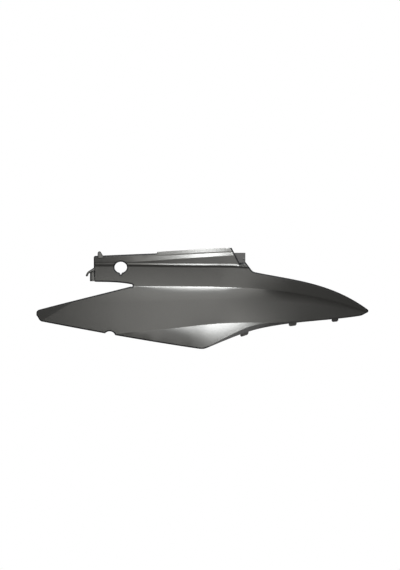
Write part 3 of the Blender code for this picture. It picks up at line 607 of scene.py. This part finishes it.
def face_slopes(x, z, step):
    """Slopes of the face along x and along z, measured over a step to either side."""
    return ((face_depth(x + step, z) - face_depth(x - step, z)) / (2 * step),
            (face_depth(x, z + step) - face_depth(x, z - step)) / (2 * step))


def wall_depth(x, z):
    """Thickness of the wall measured along Y, so that it is WALL square to the face."""
    in_x, in_z = face_slopes(x, z, WALL)
    return WALL * np.sqrt(1 + in_x**2 + in_z**2)


print("face in the middle lies", round(float(face_depth(MIDDLE_X, -100.0)), 1), "mm deep")

# %% [markdown]
# ## Round corners and the notch
#
# The edges above meet at sharp corners. Each corner is cut back and joined by an arc, and
# a round notch is cut up into the lower edge. A Bevel modifier would round all corners
# alike, and here each has its own radius. Points are set close together, because they make
# the outline that the eye follows.

# %% Set the corners and how close the points lie
NOSE_TOP_RADIUS = 9.0
NOSE_FOOT_RADIUS = 12.0
CORNER_RADIUS = 30.0
HEEL_RADIUS = 22.0
TIP_RADIUS = 3.8
SWEEP_RADIUS = 14.0
SWEEP_X = 26.0
CROTCH_RADIUS = 3.0
ARM_CORNER_RADIUS = 4.0
NOTCH_X = -281.5
NOTCH_RADIUS = 13.0
NOTCH_DEPTH = 6.2
NOTCH_SAMPLES = 400
EDGE_RADIUS = 3.2
RIM_STEP = 2.5
ARC_STEP = 6.0
SHORTEST_EDGE = 0.3


def edge_points(stations, start_x, end_x):
    """Points along an edge from start_x to end_x, ends included."""
    count = max(2, math.ceil(abs(end_x - start_x) / RIM_STEP) + 1)
    xs = np.linspace(start_x, end_x, count)
    return np.column_stack([xs, curve(xs, stations)])


def straight_points(start, end):
    """Points along the straight line between two points, ends included."""
    start, end = np.array(start, float), np.array(end, float)
    count = max(2, math.ceil(np.linalg.norm(end - start) / RIM_STEP) + 1)
    return start + (end - start) * np.linspace(0, 1, count)[:, None]


def rounded(before, after, radius):
    """Both runs cut back from their common corner, and the arc that joins them."""
    corner = before[-1]
    into = corner - before[-2]
    away = after[1] - corner
    into, away = into / np.linalg.norm(into), away / np.linalg.norm(away)
    side = into[0] * away[1] - into[1] * away[0]
    turn = math.atan2(side, into @ away)
    back = radius * math.tan(abs(turn) / 2)
    before = before[np.linalg.norm(before - corner, axis=1) > back + SHORTEST_EDGE]
    after = after[np.linalg.norm(after - corner, axis=1) > back + SHORTEST_EDGE]
    start = corner - into * back
    normal = np.array([-into[1], into[0]]) * math.copysign(1, turn)
    centre = start + normal * radius
    steps = max(2, math.ceil(math.degrees(abs(turn)) / ARC_STEP))
    arc = []
    for angle in np.linspace(0, turn, steps + 1):
        c, s = math.cos(angle), math.sin(angle)
        spoke = start - centre
        arc.append(centre + [c * spoke[0] - s * spoke[1], s * spoke[0] + c * spoke[1]])
    return before, np.array(arc), after


def notched(run):
    """The lower edge with the round notch cut up into it."""
    foot = float(curve(NOTCH_X, BLADE_BOTTOM))
    centre = np.array([NOTCH_X, foot + NOTCH_DEPTH - NOTCH_RADIUS])
    xs = np.linspace(NOTCH_X - NOTCH_RADIUS, NOTCH_X + NOTCH_RADIUS, NOTCH_SAMPLES)
    below = curve(xs, BLADE_BOTTOM)
    cut = np.hypot(xs - centre[0], below - centre[1]) < NOTCH_RADIUS
    left, right = xs[cut][0], xs[cut][-1]
    ends = [np.array([x, float(curve(x, BLADE_BOTTOM))]) for x in (left, right)]
    angles = [math.atan2(end[1] - centre[1], end[0] - centre[0]) for end in ends]
    steps = math.ceil(math.degrees(angles[0] - angles[1]) / ARC_STEP)
    arc = [centre + NOTCH_RADIUS * np.array([math.cos(a), math.sin(a)])
           for a in np.linspace(angles[0], angles[1], steps + 1)]
    before, after = run[:, 0] < left - EDGE_RADIUS, run[:, 0] > right + EDGE_RADIUS
    return np.vstack([run[before], arc, run[after]])


print("notch", NOTCH_RADIUS * 2, "mm across")

# %% [markdown]
# ## What each edge is like
#
# Most of the edge is rolled over and turned in as a lip, which stiffens the thin wall and
# hides its cut edge. Along the ledge the wall just ends, and the lower rear edge has a
# narrow flange. A mesh for each kind would leave seams between them, so four numbers at
# every point say what the edge is like there, and they blend over a short way.

# %% Give each edge its lip
ARM_LIP = 8.0
TAIL_LIP = 12.0
LIP_BLEND = 12.0
PLAIN_EDGE = 1.2
RETURN_ANGLE = 14.0


def edge_style(place, kind):
    """Share of roll, lip, width of a plain edge and its pitch, for a lip or a kind."""
    if kind == "plain":
        return 0.0, ARM_LIP, PLAIN_EDGE, 0.0
    if kind == "return":
        width = float(curve(place[0], RETURN_WIDTH))
        return 0.0, BODY_LIP, width, math.tan(math.radians(RETURN_ANGLE))
    to_tab = max(EDGE_RADIUS + WALL, -WALL / 2 - float(face_depth(*place)))
    return 1.0, to_tab if kind is None else kind, EDGE_RADIUS, 0.0


def blended(places, values):
    """Values averaged over the neighbours within the blend length on either side."""
    apart = np.linalg.norm(places[:, None] - places[None], axis=2)
    weight = np.clip(1 - apart / LIP_BLEND, 0, 1)
    return weight @ values / weight.sum(axis=1)[:, None]


def outline():
    """The panel's edge, anticlockwise from the nose, and at each of its points the share
    of a rolled edge, the depth of the lip, the width and the pitch of a plain edge."""
    heel = TAIL_BOTTOM[-1][:2]
    tip = (TAIL_X, TAIL_TOP[-1][1])
    sweep = (SWEEP_X, float(curve(SWEEP_X, TAIL_TOP)))
    ledge_end = (LEDGE_END_X, LEDGE_TOP[-1][1])
    ledge_start = (LEDGE_START_X, LEDGE_TOP[0][1])
    step_x = LEDGE_START_X - LEDGE_STEP_WIDTH
    step = (step_x, float(curve(step_x, ARM_TOP)))
    to_tab = None
    runs = [
        (edge_points(BLADE_BOTTOM, NOSE_FRONT_FOOT[0], CORNER_X), CORNER_RADIUS, BODY_LIP),
        (edge_points(TAIL_BOTTOM, CORNER_X, heel[0]), HEEL_RADIUS, "return"),
        (straight_points(heel, tip), TIP_RADIUS, ARM_LIP),
        (edge_points(TAIL_TOP, TAIL_X, SWEEP_X), SWEEP_RADIUS, TAIL_LIP),
        (straight_points(sweep, SHOULDER_END), 0, to_tab),
        (straight_points(SHOULDER_END, TAB_STEP), 0, to_tab),
        (straight_points(TAB_STEP, ledge_end), 0, to_tab),
        (edge_points(LEDGE_TOP, LEDGE_END_X, LEDGE_START_X), 0, "plain"),
        (straight_points(ledge_start, step), 0, "plain"),
        (edge_points(ARM_TOP, step_x, ARM_X), ARM_CORNER_RADIUS, ARM_LIP),
        (straight_points((ARM_X, ARM_TOP[0][1]), (ARM_X, ARM_BOTTOM[0][1])),
         ARM_CORNER_RADIUS, ARM_LIP),
        (edge_points(ARM_BOTTOM, ARM_X, CROTCH_X), CROTCH_RADIUS, ARM_LIP),
        (edge_points(BLADE_TOP, CROTCH_X, NOSE_FRONT_TOP[0]), NOSE_TOP_RADIUS, BODY_LIP),
        (straight_points(NOSE_FRONT_TOP, NOSE_FRONT_FOOT), NOSE_FOOT_RADIUS, ARM_LIP),
    ]
    points = [run[0] for run in runs]
    arcs = [[]] * len(runs)
    for i, run in enumerate(runs):
        if run[1]:
            follower = (i + 1) % len(runs)
            points[i], arcs[i], points[follower] = rounded(points[i], points[follower], run[1])
    points[0] = notched(points[0])
    places, edges = [], []
    for i, run in enumerate(runs):
        for place in [*points[i], *arcs[i]]:
            if all(np.linalg.norm(end - place) >= SHORTEST_EDGE
                   for end in places[:1] + places[-1:]):
                places.append(place)
                edges.append(edge_style(place, run[2]))
    places = np.array(places)
    return places, blended(places, np.array(edges))


edge, edge_styles = outline()
print("points round the edge:", len(edge))

# %% [markdown]
# ## The lock hole
#
# The seat lock looks out through an oval hole with a small keyway below it, and a collar
# behind the hole guides the lock's barrel. A Boolean could cut it, but would leave ragged
# triangles round it, so the hole is a second edge and gets a rim as the outline does.

# %% Cut the lock hole
LOCK_HOLE = (-257.4, -20.0)
LOCK_HOLE_WIDTH = 26.8
LOCK_HOLE_HEIGHT = 23.6
KEYWAY_WIDTH = 5.0
KEYWAY_TIP = 1.6
KEYWAY_DEPTH = 3.6
LOCK_COLLAR = 8.0


def lock_hole():
    """The edge of the lock hole, clockwise so that the material lies on the same side."""
    centre = np.array(LOCK_HOLE)
    half_key = KEYWAY_WIDTH / 2
    wide, high = LOCK_HOLE_WIDTH / 2, LOCK_HOLE_HEIGHT / 2
    gap = math.asin(half_key / wide)
    down = -math.pi / 2
    steps = math.ceil(math.degrees(2 * math.pi - 2 * gap) / ARC_STEP)
    angles = np.linspace(down - gap, down + gap - 2 * math.pi, steps + 1)
    ring = [centre + [wide * math.cos(a), high * math.sin(a)] for a in angles]
    foot = centre[1] - high - KEYWAY_DEPTH
    ring += [np.array([centre[0] + side * KEYWAY_TIP / 2, foot]) for side in (1, -1)]
    return np.array(ring)


print("lock hole", LOCK_HOLE_WIDTH, "by", LOCK_HOLE_HEIGHT, "mm")

# %% [markdown]
# ## The section of an edge
#
# The rim is drawn once as a small section and carried round each edge. A Bevel modifier
# could round the edge of a plate, but it can't turn the wall in and bring it back at full
# thickness, as this rim does.

# %% Draw the section of the rim
ROLL_STEPS = 6
SHARPEST_MITRE = 0.4


def unit(vectors):
    """The vectors, one to a row, at length 1."""
    return vectors / np.linalg.norm(vectors, axis=1)[:, None]


def inward_normals(loop):
    """Mitred normals into the material, which lies to the left of the loop."""
    into = unit(loop - np.roll(loop, 1, axis=0))
    away = unit(np.roll(loop, -1, axis=0) - loop)
    left = unit(np.stack([-into[:, 1] - away[:, 1], into[:, 0] + away[:, 0]], axis=1))
    half_turn = np.clip(left[:, 0] * -into[:, 1] + left[:, 1] * into[:, 0], SHARPEST_MITRE, 1)
    return left / half_turn[:, None]


def rim_section(roll, lip, width, pitch):
    """Points of the rim from the face to the inner face, as (inset, depth, share of the
    wall); a rolled edge ends in a lip, and a plain one slopes inwards by its pitch."""
    plain, steep = 1 - roll, WALL * (math.hypot(1, pitch) - 1)
    points = []
    for step in range(ROLL_STEPS + 1):
        angle, share = step / ROLL_STEPS * math.pi / 2, step / ROLL_STEPS
        points.append((roll * EDGE_RADIUS * (1 - math.sin(angle)) + plain * width * (1 - share),
                       roll * EDGE_RADIUS * (1 - math.cos(angle)) + plain * width * share * pitch,
                       0))
    points += [
        (0, roll * lip + plain * (width * pitch + steep), plain),
        (roll * WALL + plain * width / 3, roll * lip + plain * (width * pitch * 2 / 3 + steep),
         plain),
        (roll * WALL + plain * width * 2 / 3,
         roll * EDGE_RADIUS + plain * (width * pitch / 3 + steep), plain),
        (points[0][0], 0, 1),
    ]
    return points


print("points in the section:", len(rim_section(1.0, BODY_LIP, EDGE_RADIUS, 0.0)))

# %% [markdown]
# ## Filling the face
#
# The face is filled with columns of points a few millimetres apart, with one point on each
# styling line in every column. Joining those along the lines puts each crease on the edges
# of triangles, so it doesn't turn into a row of teeth.

# %% Lay out the points of the face
SHARP_ANGLE = 28.0
STATION = 3.0
ROW = 1.5
RING_CLEARANCE = 0.5
ROW_CLEARANCE = 0.3
EDGE_CHECKS = 9
MERGE = 1e-4


def inside(points, loop):
    """Whether each point lies inside the closed loop."""
    x, z = points[:, :1], points[:, 1:]
    start, end = loop, np.roll(loop, -1, axis=0)
    crosses = (start[:, 1] > z) != (end[:, 1] > z)
    rise = np.where(end[:, 1] == start[:, 1], 1, end[:, 1] - start[:, 1])
    at = start[:, 0] + (z - start[:, 1]) / rise * (end[:, 0] - start[:, 0])
    return (crosses & (x < at)).sum(axis=1) % 2 == 1


def distance(points, loop):
    """Distance from each point to the closed loop."""
    start, end = loop, np.roll(loop, -1, axis=0)
    along = end - start
    length = (along**2).sum(axis=1)
    t = ((points[:, None] - start) * along).sum(axis=2) / length
    near = start + np.clip(t, 0, 1)[:, :, None] * along
    return np.linalg.norm(points[:, None] - near, axis=2).min(axis=1)


def clear_of(rings, places):
    """Whether each place is on the face, clear of its edge and of the lock hole."""
    on_face = inside(places, rings[0]) & ~inside(places, rings[1])
    return on_face & (np.minimum(*(distance(places, ring) for ring in rings)) > RING_CLEARANCE)


def lattice(rings):
    """Points over the face inside the rings, in columns, and the edges that join each
    line of the face's section from one column to the next."""
    xs = np.linspace(NOSE_X, TAIL_X, math.ceil((TAIL_X - NOSE_X) / STATION) + 1)
    points, edges, last = [], [], {}
    for x, knots in zip(xs, face_section(xs)[0].T):
        rows = [(0, knots[0])]
        for k, (high, low) in enumerate(zip(knots[:-1], knots[1:]), start=1):
            between = math.ceil((high - low) / ROW)
            rows += [(k + j / between, high + (low - high) * j / between)
                     for j in range(1, between + 1)]
        places = np.array([(x, z) for _, z in rows])
        kept, floor = {}, math.inf
        for (name, z), free in zip(rows, clear_of(rings, places)):
            if free and floor - z > ROW_CLEARANCE:
                floor, kept[name] = z, len(points)
                points.append((x, z))
                if name in last:
                    edges.append((last[name], kept[name]))
        last = kept
    return points, edges


def with_bend(rings, points, edges):
    """The points and edges with both sides of the nose's bend added as edges."""
    low, along = bend_line()
    across = np.array([-along[1], along[0]]) * NOSE_BEND_WIDTH / 2
    reach = math.dist(NOSE_BEND_LOW, NOSE_BEND_HIGH)
    steps = np.arange(-reach / 2, reach * 2, NOSE_BEND_STEP)
    for side in (-1, 1):
        line = low + side * across + steps[:, None] * along
        line = line[clear_of(rings, line)]
        first = len(points)
        points = points + [tuple(place) for place in line]
        edges = edges + [(first + i, first + i + 1) for i in range(len(line) - 1)]
    ends = np.array(points)[np.array(edges)]
    on_face = np.ones(len(edges), bool)
    for share in np.linspace(0, 1, EDGE_CHECKS):
        on_face &= clear_of(rings, ends[:, 0] * (1 - share) + ends[:, 1] * share)
    return points, [ends for ends, fits in zip(edges, on_face) if fits]


def filled(rings, points, edges):
    """Triangles that fill the face between the rings, as indices into all the points."""
    links, first = [], 0
    for ring in rings:
        links += [(first + i, first + (i + 1) % len(ring)) for i in range(len(ring))]
        first += len(ring)
    flat = [Vector(place) for place in (*rings[0], *rings[1], *points)]
    links += [(first + a, first + b) for a, b in edges]
    found = delaunay_2d_cdt(flat, links, [], 0, MERGE)
    places = np.array([tuple(place) for place in found[0]])
    triangles = np.array([face for face in found[2] if len(face) == 3])
    middles = places[triangles].mean(axis=1)
    keep = inside(middles, rings[0]) & ~inside(middles, rings[1])
    return places, triangles[keep], found[3]


print("a column of points every", STATION, "mm")

# %% [markdown]
# ## The skin
#
# The skin is the whole wall as one closed mesh: the face, the rim round each edge and the
# back. Each of its faces is marked with its finish. A rolled rim is bare plastic, and the
# dark line that it draws round the panel is painted shade where the edge rolls away; the
# sloping flange has thin paint, and the back is bare. Last, the points are held inside the
# solid's box.

# %% Build the skin
def make_object(name, vertices, faces):
    """A piece from millimetre vertices, closed and facing out, that stands for the solid."""
    mesh = bpy.data.meshes.new(name)
    mesh.from_pydata([Vector(v) * MM for v in vertices], [], faces)
    piece = bpy.data.objects.new(name, mesh)
    bpy.context.collection.objects.link(piece)
    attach(piece, "root")
    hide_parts("side_panel")
    return piece


def cleaned(mesh):
    """The mesh without loose points, with all faces looking out and smooth up to creases."""
    shape = bmesh.new()
    shape.from_mesh(mesh)
    loose = [v for v in shape.verts if not v.link_faces]
    bmesh.ops.delete(shape, geom=loose, context="VERTS")
    bmesh.ops.recalc_face_normals(shape, faces=shape.faces)
    shape.to_mesh(mesh)
    shape.free()
    mesh.shade_smooth()
    mesh.set_sharp_from_angle(angle=math.radians(SHARP_ANGLE))


FINISHES = (paint, plastic, thin_and_shaded_paint)
PAINTED, BARE, THIN_AND_SHADED = range(len(FINISHES))
# Spray drifted round the rim, kept low along the rolled part so that it stays dark as painted
# shade.
RIM_SPRAY_AND_SHADE = (1.0, 0.2, 0.1, 0.06, 0.06, 0.06, 0.06, 0.06, 0.05, 0.04, 0.03)
ROLLED_SHARE = 0.3
SLOPING_PITCH = 0.1


def finish_of(step, style):
    """The finish of one face of the rim, counted from the face of the panel."""
    roll, _, _, pitch = style
    # A rolled rim is bare plastic, a painted dark line of shade at the edge; the sloping flange
    # gets thin paint.
    if step > ROLL_STEPS or roll > ROLLED_SHARE:
        return BARE
    return THIN_AND_SHADED if pitch > SLOPING_PITCH else PAINTED


def skin_mesh(edge, edge_styles, hole):
    """Vertices and faces of the wall, the finish of each face and the share of drifted
    spray at each vertex."""
    loops = [(edge, edge_styles), (hole, [(1.0, LOCK_COLLAR, EDGE_RADIUS, 0.0)] * len(hole))]
    vertices, faces, finish, drift, rings, face_ends = [], [], [], [], [], []
    for loop, styles in loops:
        sections = [rim_section(*style) for style in styles]
        first, count = len(vertices), len(sections[0])
        for place, normal, section in zip(loop, inward_normals(loop), sections):
            face_ends.append((len(vertices), len(vertices) + count - 1))
            vertices += [(*(place + normal * inset), depth, walls)
                         for inset, depth, walls in section]
            drift += RIM_SPRAY_AND_SHADE
        for i in range(len(loop)):
            here, there = first + i * count, first + (i + 1) % len(loop) * count
            faces += [(here + k, there + k, there + k + 1, here + k + 1)
                      for k in range(count - 1)]
            finish += [finish_of(k, styles[i]) for k in range(count - 1)]
        rings.append(np.array([vertex[:2] for vertex in vertices[first::count]]))
    places, triangles, origins = filled(rings, *with_bend(rings, *lattice(rings)))
    ends = []
    for (x, z), origin in zip(places, origins):
        on_ring = [o for o in origin if o < len(face_ends)]
        if on_ring:
            ends.append(face_ends[on_ring[0]])
        else:
            ends.append((len(vertices), len(vertices) + 1))
            vertices += [(x, z, 0, 0), (x, z, 0, 1)]
            drift += [1.0, 0.0]
    for a, b, c in triangles:
        faces += [(ends[a][0], ends[b][0], ends[c][0]), (ends[a][1], ends[c][1], ends[b][1])]
        finish += [PAINTED, BARE]
    x, z, depth, walls = np.array(vertices).T
    y = face_depth(x, z) + depth + walls * wall_depth(x, z)
    return np.column_stack([x, y, z]), faces, finish, drift


vertices, faces, finish, drift_values = skin_mesh(edge, edge_styles, lock_hole())
vertices = np.clip(vertices, np.array(solid_low) / MM, np.array(solid_high) / MM)
skin = make_object("moulded_skin", vertices, faces)
for material in FINISHES:
    skin.data.materials.append(material)
skin.data.polygons.foreach_set("material_index", np.array(finish, np.int32))
skin.data.attributes.new("overspray", "FLOAT", "POINT").data.foreach_set("value", drift_values)
cleaned(skin.data)
print("skin:", len(skin.data.polygons), "faces")

# %% [markdown]
# ## Crisp highlights
#
# Smooth shading averages the normals of neighbouring triangles, which smears a narrow
# highlight. The face is a formula, so its true normals are known, and each corner of a
# painted triangle gets its own. More triangles would do the same at a far higher cost.

# %% Set the normals of the face
NORMAL_STEP = 0.05
FULL_SPRAY = 0.999


def face_normals(x, z):
    """Normals of the painted face at the places, from how its depth changes there."""
    in_x, in_z = face_slopes(x, z, NORMAL_STEP)
    return unit(np.column_stack([in_x, -np.ones_like(x), in_z]))


def values_of(items, name, width, kind=np.float32):
    """One attribute of all items as an array with a row for each."""
    found = np.empty(len(items) * width, kind)
    items.foreach_get(name, found)
    return found.reshape(len(items), width)


mesh = skin.data
places = values_of(mesh.vertices, "co", 3).astype(float) / MM
on_face = values_of(mesh.attributes["overspray"].data, "value", 1)[:, 0] > FULL_SPRAY
corners = values_of(mesh.loops, "vertex_index", 1, np.int32)[:, 0]
starts = values_of(mesh.polygons, "loop_start", 1, np.int32)[:, 0]
sides = values_of(mesh.polygons, "loop_total", 1, np.int32)[:, 0]
whole = np.repeat(np.logical_and.reduceat(on_face[corners], starts), sides)
normals = values_of(mesh.corner_normals, "vector", 3).astype(float)
normals[whole] = face_normals(places[corners[whole], 0], places[corners[whole], 2])
mesh.normals_split_custom_set(normals)
print("corners with their own normal:", int(whole.sum()))

# %% [markdown]
# ## What grows out of the skin
#
# Tabs, an ear, a hook and ribs grow out of the same moulding. Each is a short profile
# pushed out to a thickness. Real plastic never has a knife edge, so each gets a small
# Bevel modifier, which leaves the profile as it was drawn.

# %% Make the helpers for small pieces
CHAMFER = 1.2
SOFT_EDGE = 0.45
SOFT_SEGMENTS = 3
SOFT_ANGLE = 30.0


def stacked(name, loops):
    """A solid through loops of equally many points, closed at the first and the last."""
    count, last = len(loops[0]), (len(loops) - 1) * len(loops[0])
    faces = [tuple(range(count)), tuple(range(last + count - 1, last - 1, -1))]
    faces += [(first + i, first + (i + 1) % count, first + count + (i + 1) % count,
               first + count + i) for first in range(0, last, count) for i in range(count)]
    return make_object(name, [place for loop in loops for place in loop], faces)


def prism(name, profile, to_point, near, far):
    """A solid between two copies of a profile; to_point places (u, v) at a thickness."""
    return stacked(name, [[to_point(u, v, w) for u, v in profile] for w in (near, far)])


def chamfered(name, profile, front, back):
    """A solid with an anticlockwise profile of (x, z) and chamfered front edges; it widens
    to the full profile one chamfer behind the front."""
    loop = np.array(profile, float)
    small = loop + inward_normals(loop) * CHAMFER
    levels = ((small, front), (loop, front + CHAMFER), (loop, back))
    return stacked(name, [[(x, y, z) for x, z in ring] for ring, y in levels])


def finished(piece, material, edge_width=SOFT_EDGE):
    """The piece with its material and its edges softened; the bevel takes the bare plastic, a
    dark line that is painted shade at each rounded edge.
    """
    piece.data.materials.append(material)
    piece.data.materials.append(plastic)
    cleaned(piece.data)
    bevel = piece.modifiers.new("soft_edges", "BEVEL")
    bevel.width = edge_width * MM
    bevel.segments = SOFT_SEGMENTS
    # The bevel faces take the bare plastic: a painted dark line of shade round each piece.
    bevel.material = 1
    bevel.limit_method = "ANGLE"
    bevel.angle_limit = math.radians(SOFT_ANGLE)
    return piece


print("edges of small pieces are rounded by", SOFT_EDGE, "mm")

# %% [markdown]
# ## The rear tab
#
# The tab at the top rear holds the panel to the frame, so its inner face is flat. It is
# thicker towards its foot, and a small catch stands on its front. Scaled cubes would leave
# steps between them, so its view from the side is drawn and pushed out over its width.

# %% Make the rear tab and its catch
REAR_TAB_LEFT = -24.0
REAR_TAB_RIGHT = 10.4
REAR_TAB_TOP = 11.2
REAR_TAB_FOOT = -17.5
REAR_TAB_STEP = -10.6
REAR_TAB_STEP_DEPTH = 4.8
REAR_TAB_STEP_HEIGHT = 2.4
CATCH = (8.6, 1.4, 3.4, 5.0)
CATCH_DEPTH = 2.2


def rear_tab():
    """Tab whose inner face is the origin plane, with the catch on its front."""
    foot_depth = -REAR_TAB_STEP_DEPTH + REAR_TAB_STEP_HEIGHT
    profile = [(0.0, REAR_TAB_FOOT), (0.0, REAR_TAB_TOP), (-WALL, REAR_TAB_TOP),
               (-REAR_TAB_STEP_DEPTH, REAR_TAB_STEP),
               (foot_depth, REAR_TAB_STEP - REAR_TAB_STEP_HEIGHT), (foot_depth, REAR_TAB_FOOT)]
    plate = prism("rear_tab", profile, lambda y, z, x: (x, y, z), REAR_TAB_LEFT, REAR_TAB_RIGHT)
    right, top, width, height = CATCH
    ramp = [(-WALL / 2, top), (-WALL, top), (-WALL - CATCH_DEPTH, top - height + CHAMFER),
            (-WALL - CATCH_DEPTH, top - height), (-WALL / 2, top - height)]
    catch = prism("catch", ramp, lambda y, z, x: (x, y, z), right - width, right)
    return [plate, catch]


# The tab and its catch take the thin paint, whose darker colour is partly painted shade.
for piece in rear_tab():
    finished(piece, thin_and_shaded_paint)
    print(piece.name)

# %% [markdown]
# ## The lower tabs
#
# Three tabs hang from the lower rear edge and slip behind the cover below it. Copies of
# one tab would stick out where the edge bends, so each is turned and slanted to the place
# where it grows.

# %% Make the lower tabs
LOWER_TABS = ((8.3, 17.6), (112.4, 17.2), (204, 14.6))
LOWER_TAB_RISE = 5.0
LOWER_TAB_DROP = 6.0
LOWER_TAB_CHAMFER = 2.6
LOWER_TAB_OVERLAP = 0.5


def lower_tab(index, x, width):
    """A tab that hangs from the lower rear edge and follows it."""
    edge_z, edge_width = float(curve(x, TAIL_BOTTOM)), float(curve(x, RETURN_WIDTH))
    top_z = edge_z + edge_width
    drop = math.tan(math.radians(RETURN_ANGLE)) * max(edge_width - LOWER_TAB_RISE, 0)
    front = float(face_depth(x, top_z)) + drop + LOWER_TAB_OVERLAP
    turn = math.atan(float(face_depth(x + width, top_z) - face_depth(x - width, top_z))
                     / (2 * width))
    slope = float(curve(x + width, TAIL_BOTTOM) - curve(x - width, TAIL_BOTTOM)) / (2 * width)
    half, cut = width / 2, LOWER_TAB_CHAMFER
    foot, head = -LOWER_TAB_DROP, LOWER_TAB_RISE + WALL
    profile = [(-half, foot + cut), (-half + cut, foot), (half - cut, foot),
               (half, foot + cut), (half, head), (-half, head)]
    profile = [(u, v + slope * u) for u, v in profile]

    def to_point(u, v, y):
        return (x + u * math.cos(turn) - y * math.sin(turn),
                front + u * math.sin(turn) + y * math.cos(turn), edge_z + v)

    return prism(f"lower_tab_{index}", profile, to_point, 0.0, WALL)


# The tabs take the thin paint, whose darker colour is partly painted shade.
for i, (x, width) in enumerate(LOWER_TABS):
    print(finished(lower_tab(i + 1, x, width), thin_and_shaded_paint).name)

# %% [markdown]
# ## The front end of the arm
#
# An ear stands on the top edge, and below it a hook and a round-nosed lug reach forward to
# hold the neighbouring cover. Filled curves could make them, but in a mesh the front of
# the ear and of the hook can be chamfered, which catches a thin line of light all round.

# %% Make the ear, the hook and the lug
EAR = ((8.4, -1), (20.8, -1), (20.8, 3.4), (16, 12.2), (13.4, 14.4), (10.2, 13.8), (8.4, 11))
EAR_THICKNESS = 6.0
HOOK = ((3, -18.4), (-2.4, -22.6), (-7.2, -25.6), (-12, -28.6), (-15.2, -32.4), (-17.4, -37.2),
        (-16.6, -39.8), (-12.8, -39), (-11.8, -35.4), (-8.8, -32.4), (-4, -30.2), (3, -28))
HOOK_THICKNESS = 7.0
LUG_REACH = 8.4
LUG_ROOT = 2.0
LUG_TOP = -28.5
LUG_FOOT = -50.0
LUG_SIDES = 20


def arm_end():
    """Ear on the top edge at the front end of the arm, and the hook and lug below it."""
    ear_front = float(face_depth(ARM_X + EAR[0][0], curve(ARM_X, ARM_TOP)))
    ear = chamfered("ear", np.add(EAR, (ARM_X, 0)), ear_front, ear_front + EAR_THICKNESS)
    hook_front = float(face_depth(ARM_X, HOOK[0][1])) + CHAMFER
    hook = chamfered("hook", np.add(HOOK, (ARM_X, 0)), hook_front,
                     hook_front + HOOK_THICKNESS)
    radius = LUG_REACH / 2
    lug_front = float(face_depth(ARM_X, (LUG_TOP + LUG_FOOT) / 2)) + CHAMFER
    profile = [(ARM_X + LUG_ROOT, lug_front + 2 * radius), (ARM_X + LUG_ROOT, lug_front)]
    profile += [(ARM_X - radius - radius * math.sin(a), lug_front + radius - radius * math.cos(a))
                for a in np.linspace(0, math.pi, LUG_SIDES + 1)]
    lug = prism("lug", profile, lambda x, y, z: (x, y, z), LUG_FOOT, LUG_TOP)
    return [ear, hook, lug]


for piece in arm_end():
    print(finished(piece, paint).name)

# %% [markdown]
# ## Ribs
#
# Low ribs in the corner behind the shoulder keep the long thin wall from twisting. They
# are on the hidden side, so they are bare plastic. Straight blocks would stand off the
# wall, so each follows the curve of the wall behind it.

# %% Stand the ribs behind the shoulder
RIB_COUNT = 5
RIB_THICKNESS = 2.0
RIB_FIRST_X = -214.0
RIB_LAST_X = -44.0
RIB_DEPTH = 7.0
RIB_STEPS = 20


def rib(index, x):
    """A rib in the corner behind the shoulder, following the inner face."""
    lines = guide_lines(np.array([x]))
    low = float(lines["groove"][0]) - RIB_DEPTH
    high = float(lines["ledge"][0]) - 2 * LEDGE_STEP_WIDTH
    heights = np.linspace(low, high, RIB_STEPS + 1)
    front = [(float(face_depth(x, z) + wall_depth(x, z) / 2), z) for z in heights]
    back = max(y for y, _ in front) + WALL / 2
    profile = front + [(back, high), (front[0][0] + WALL, low)]
    half = RIB_THICKNESS / 2
    return prism(f"rib_{index}", profile, lambda y, z, t: (x + t, y, z), -half, half)


for i, x in enumerate(np.linspace(RIB_FIRST_X, RIB_LAST_X, RIB_COUNT)):
    print(finished(rib(i + 1, x), plastic, RIB_THICKNESS / 5).name)
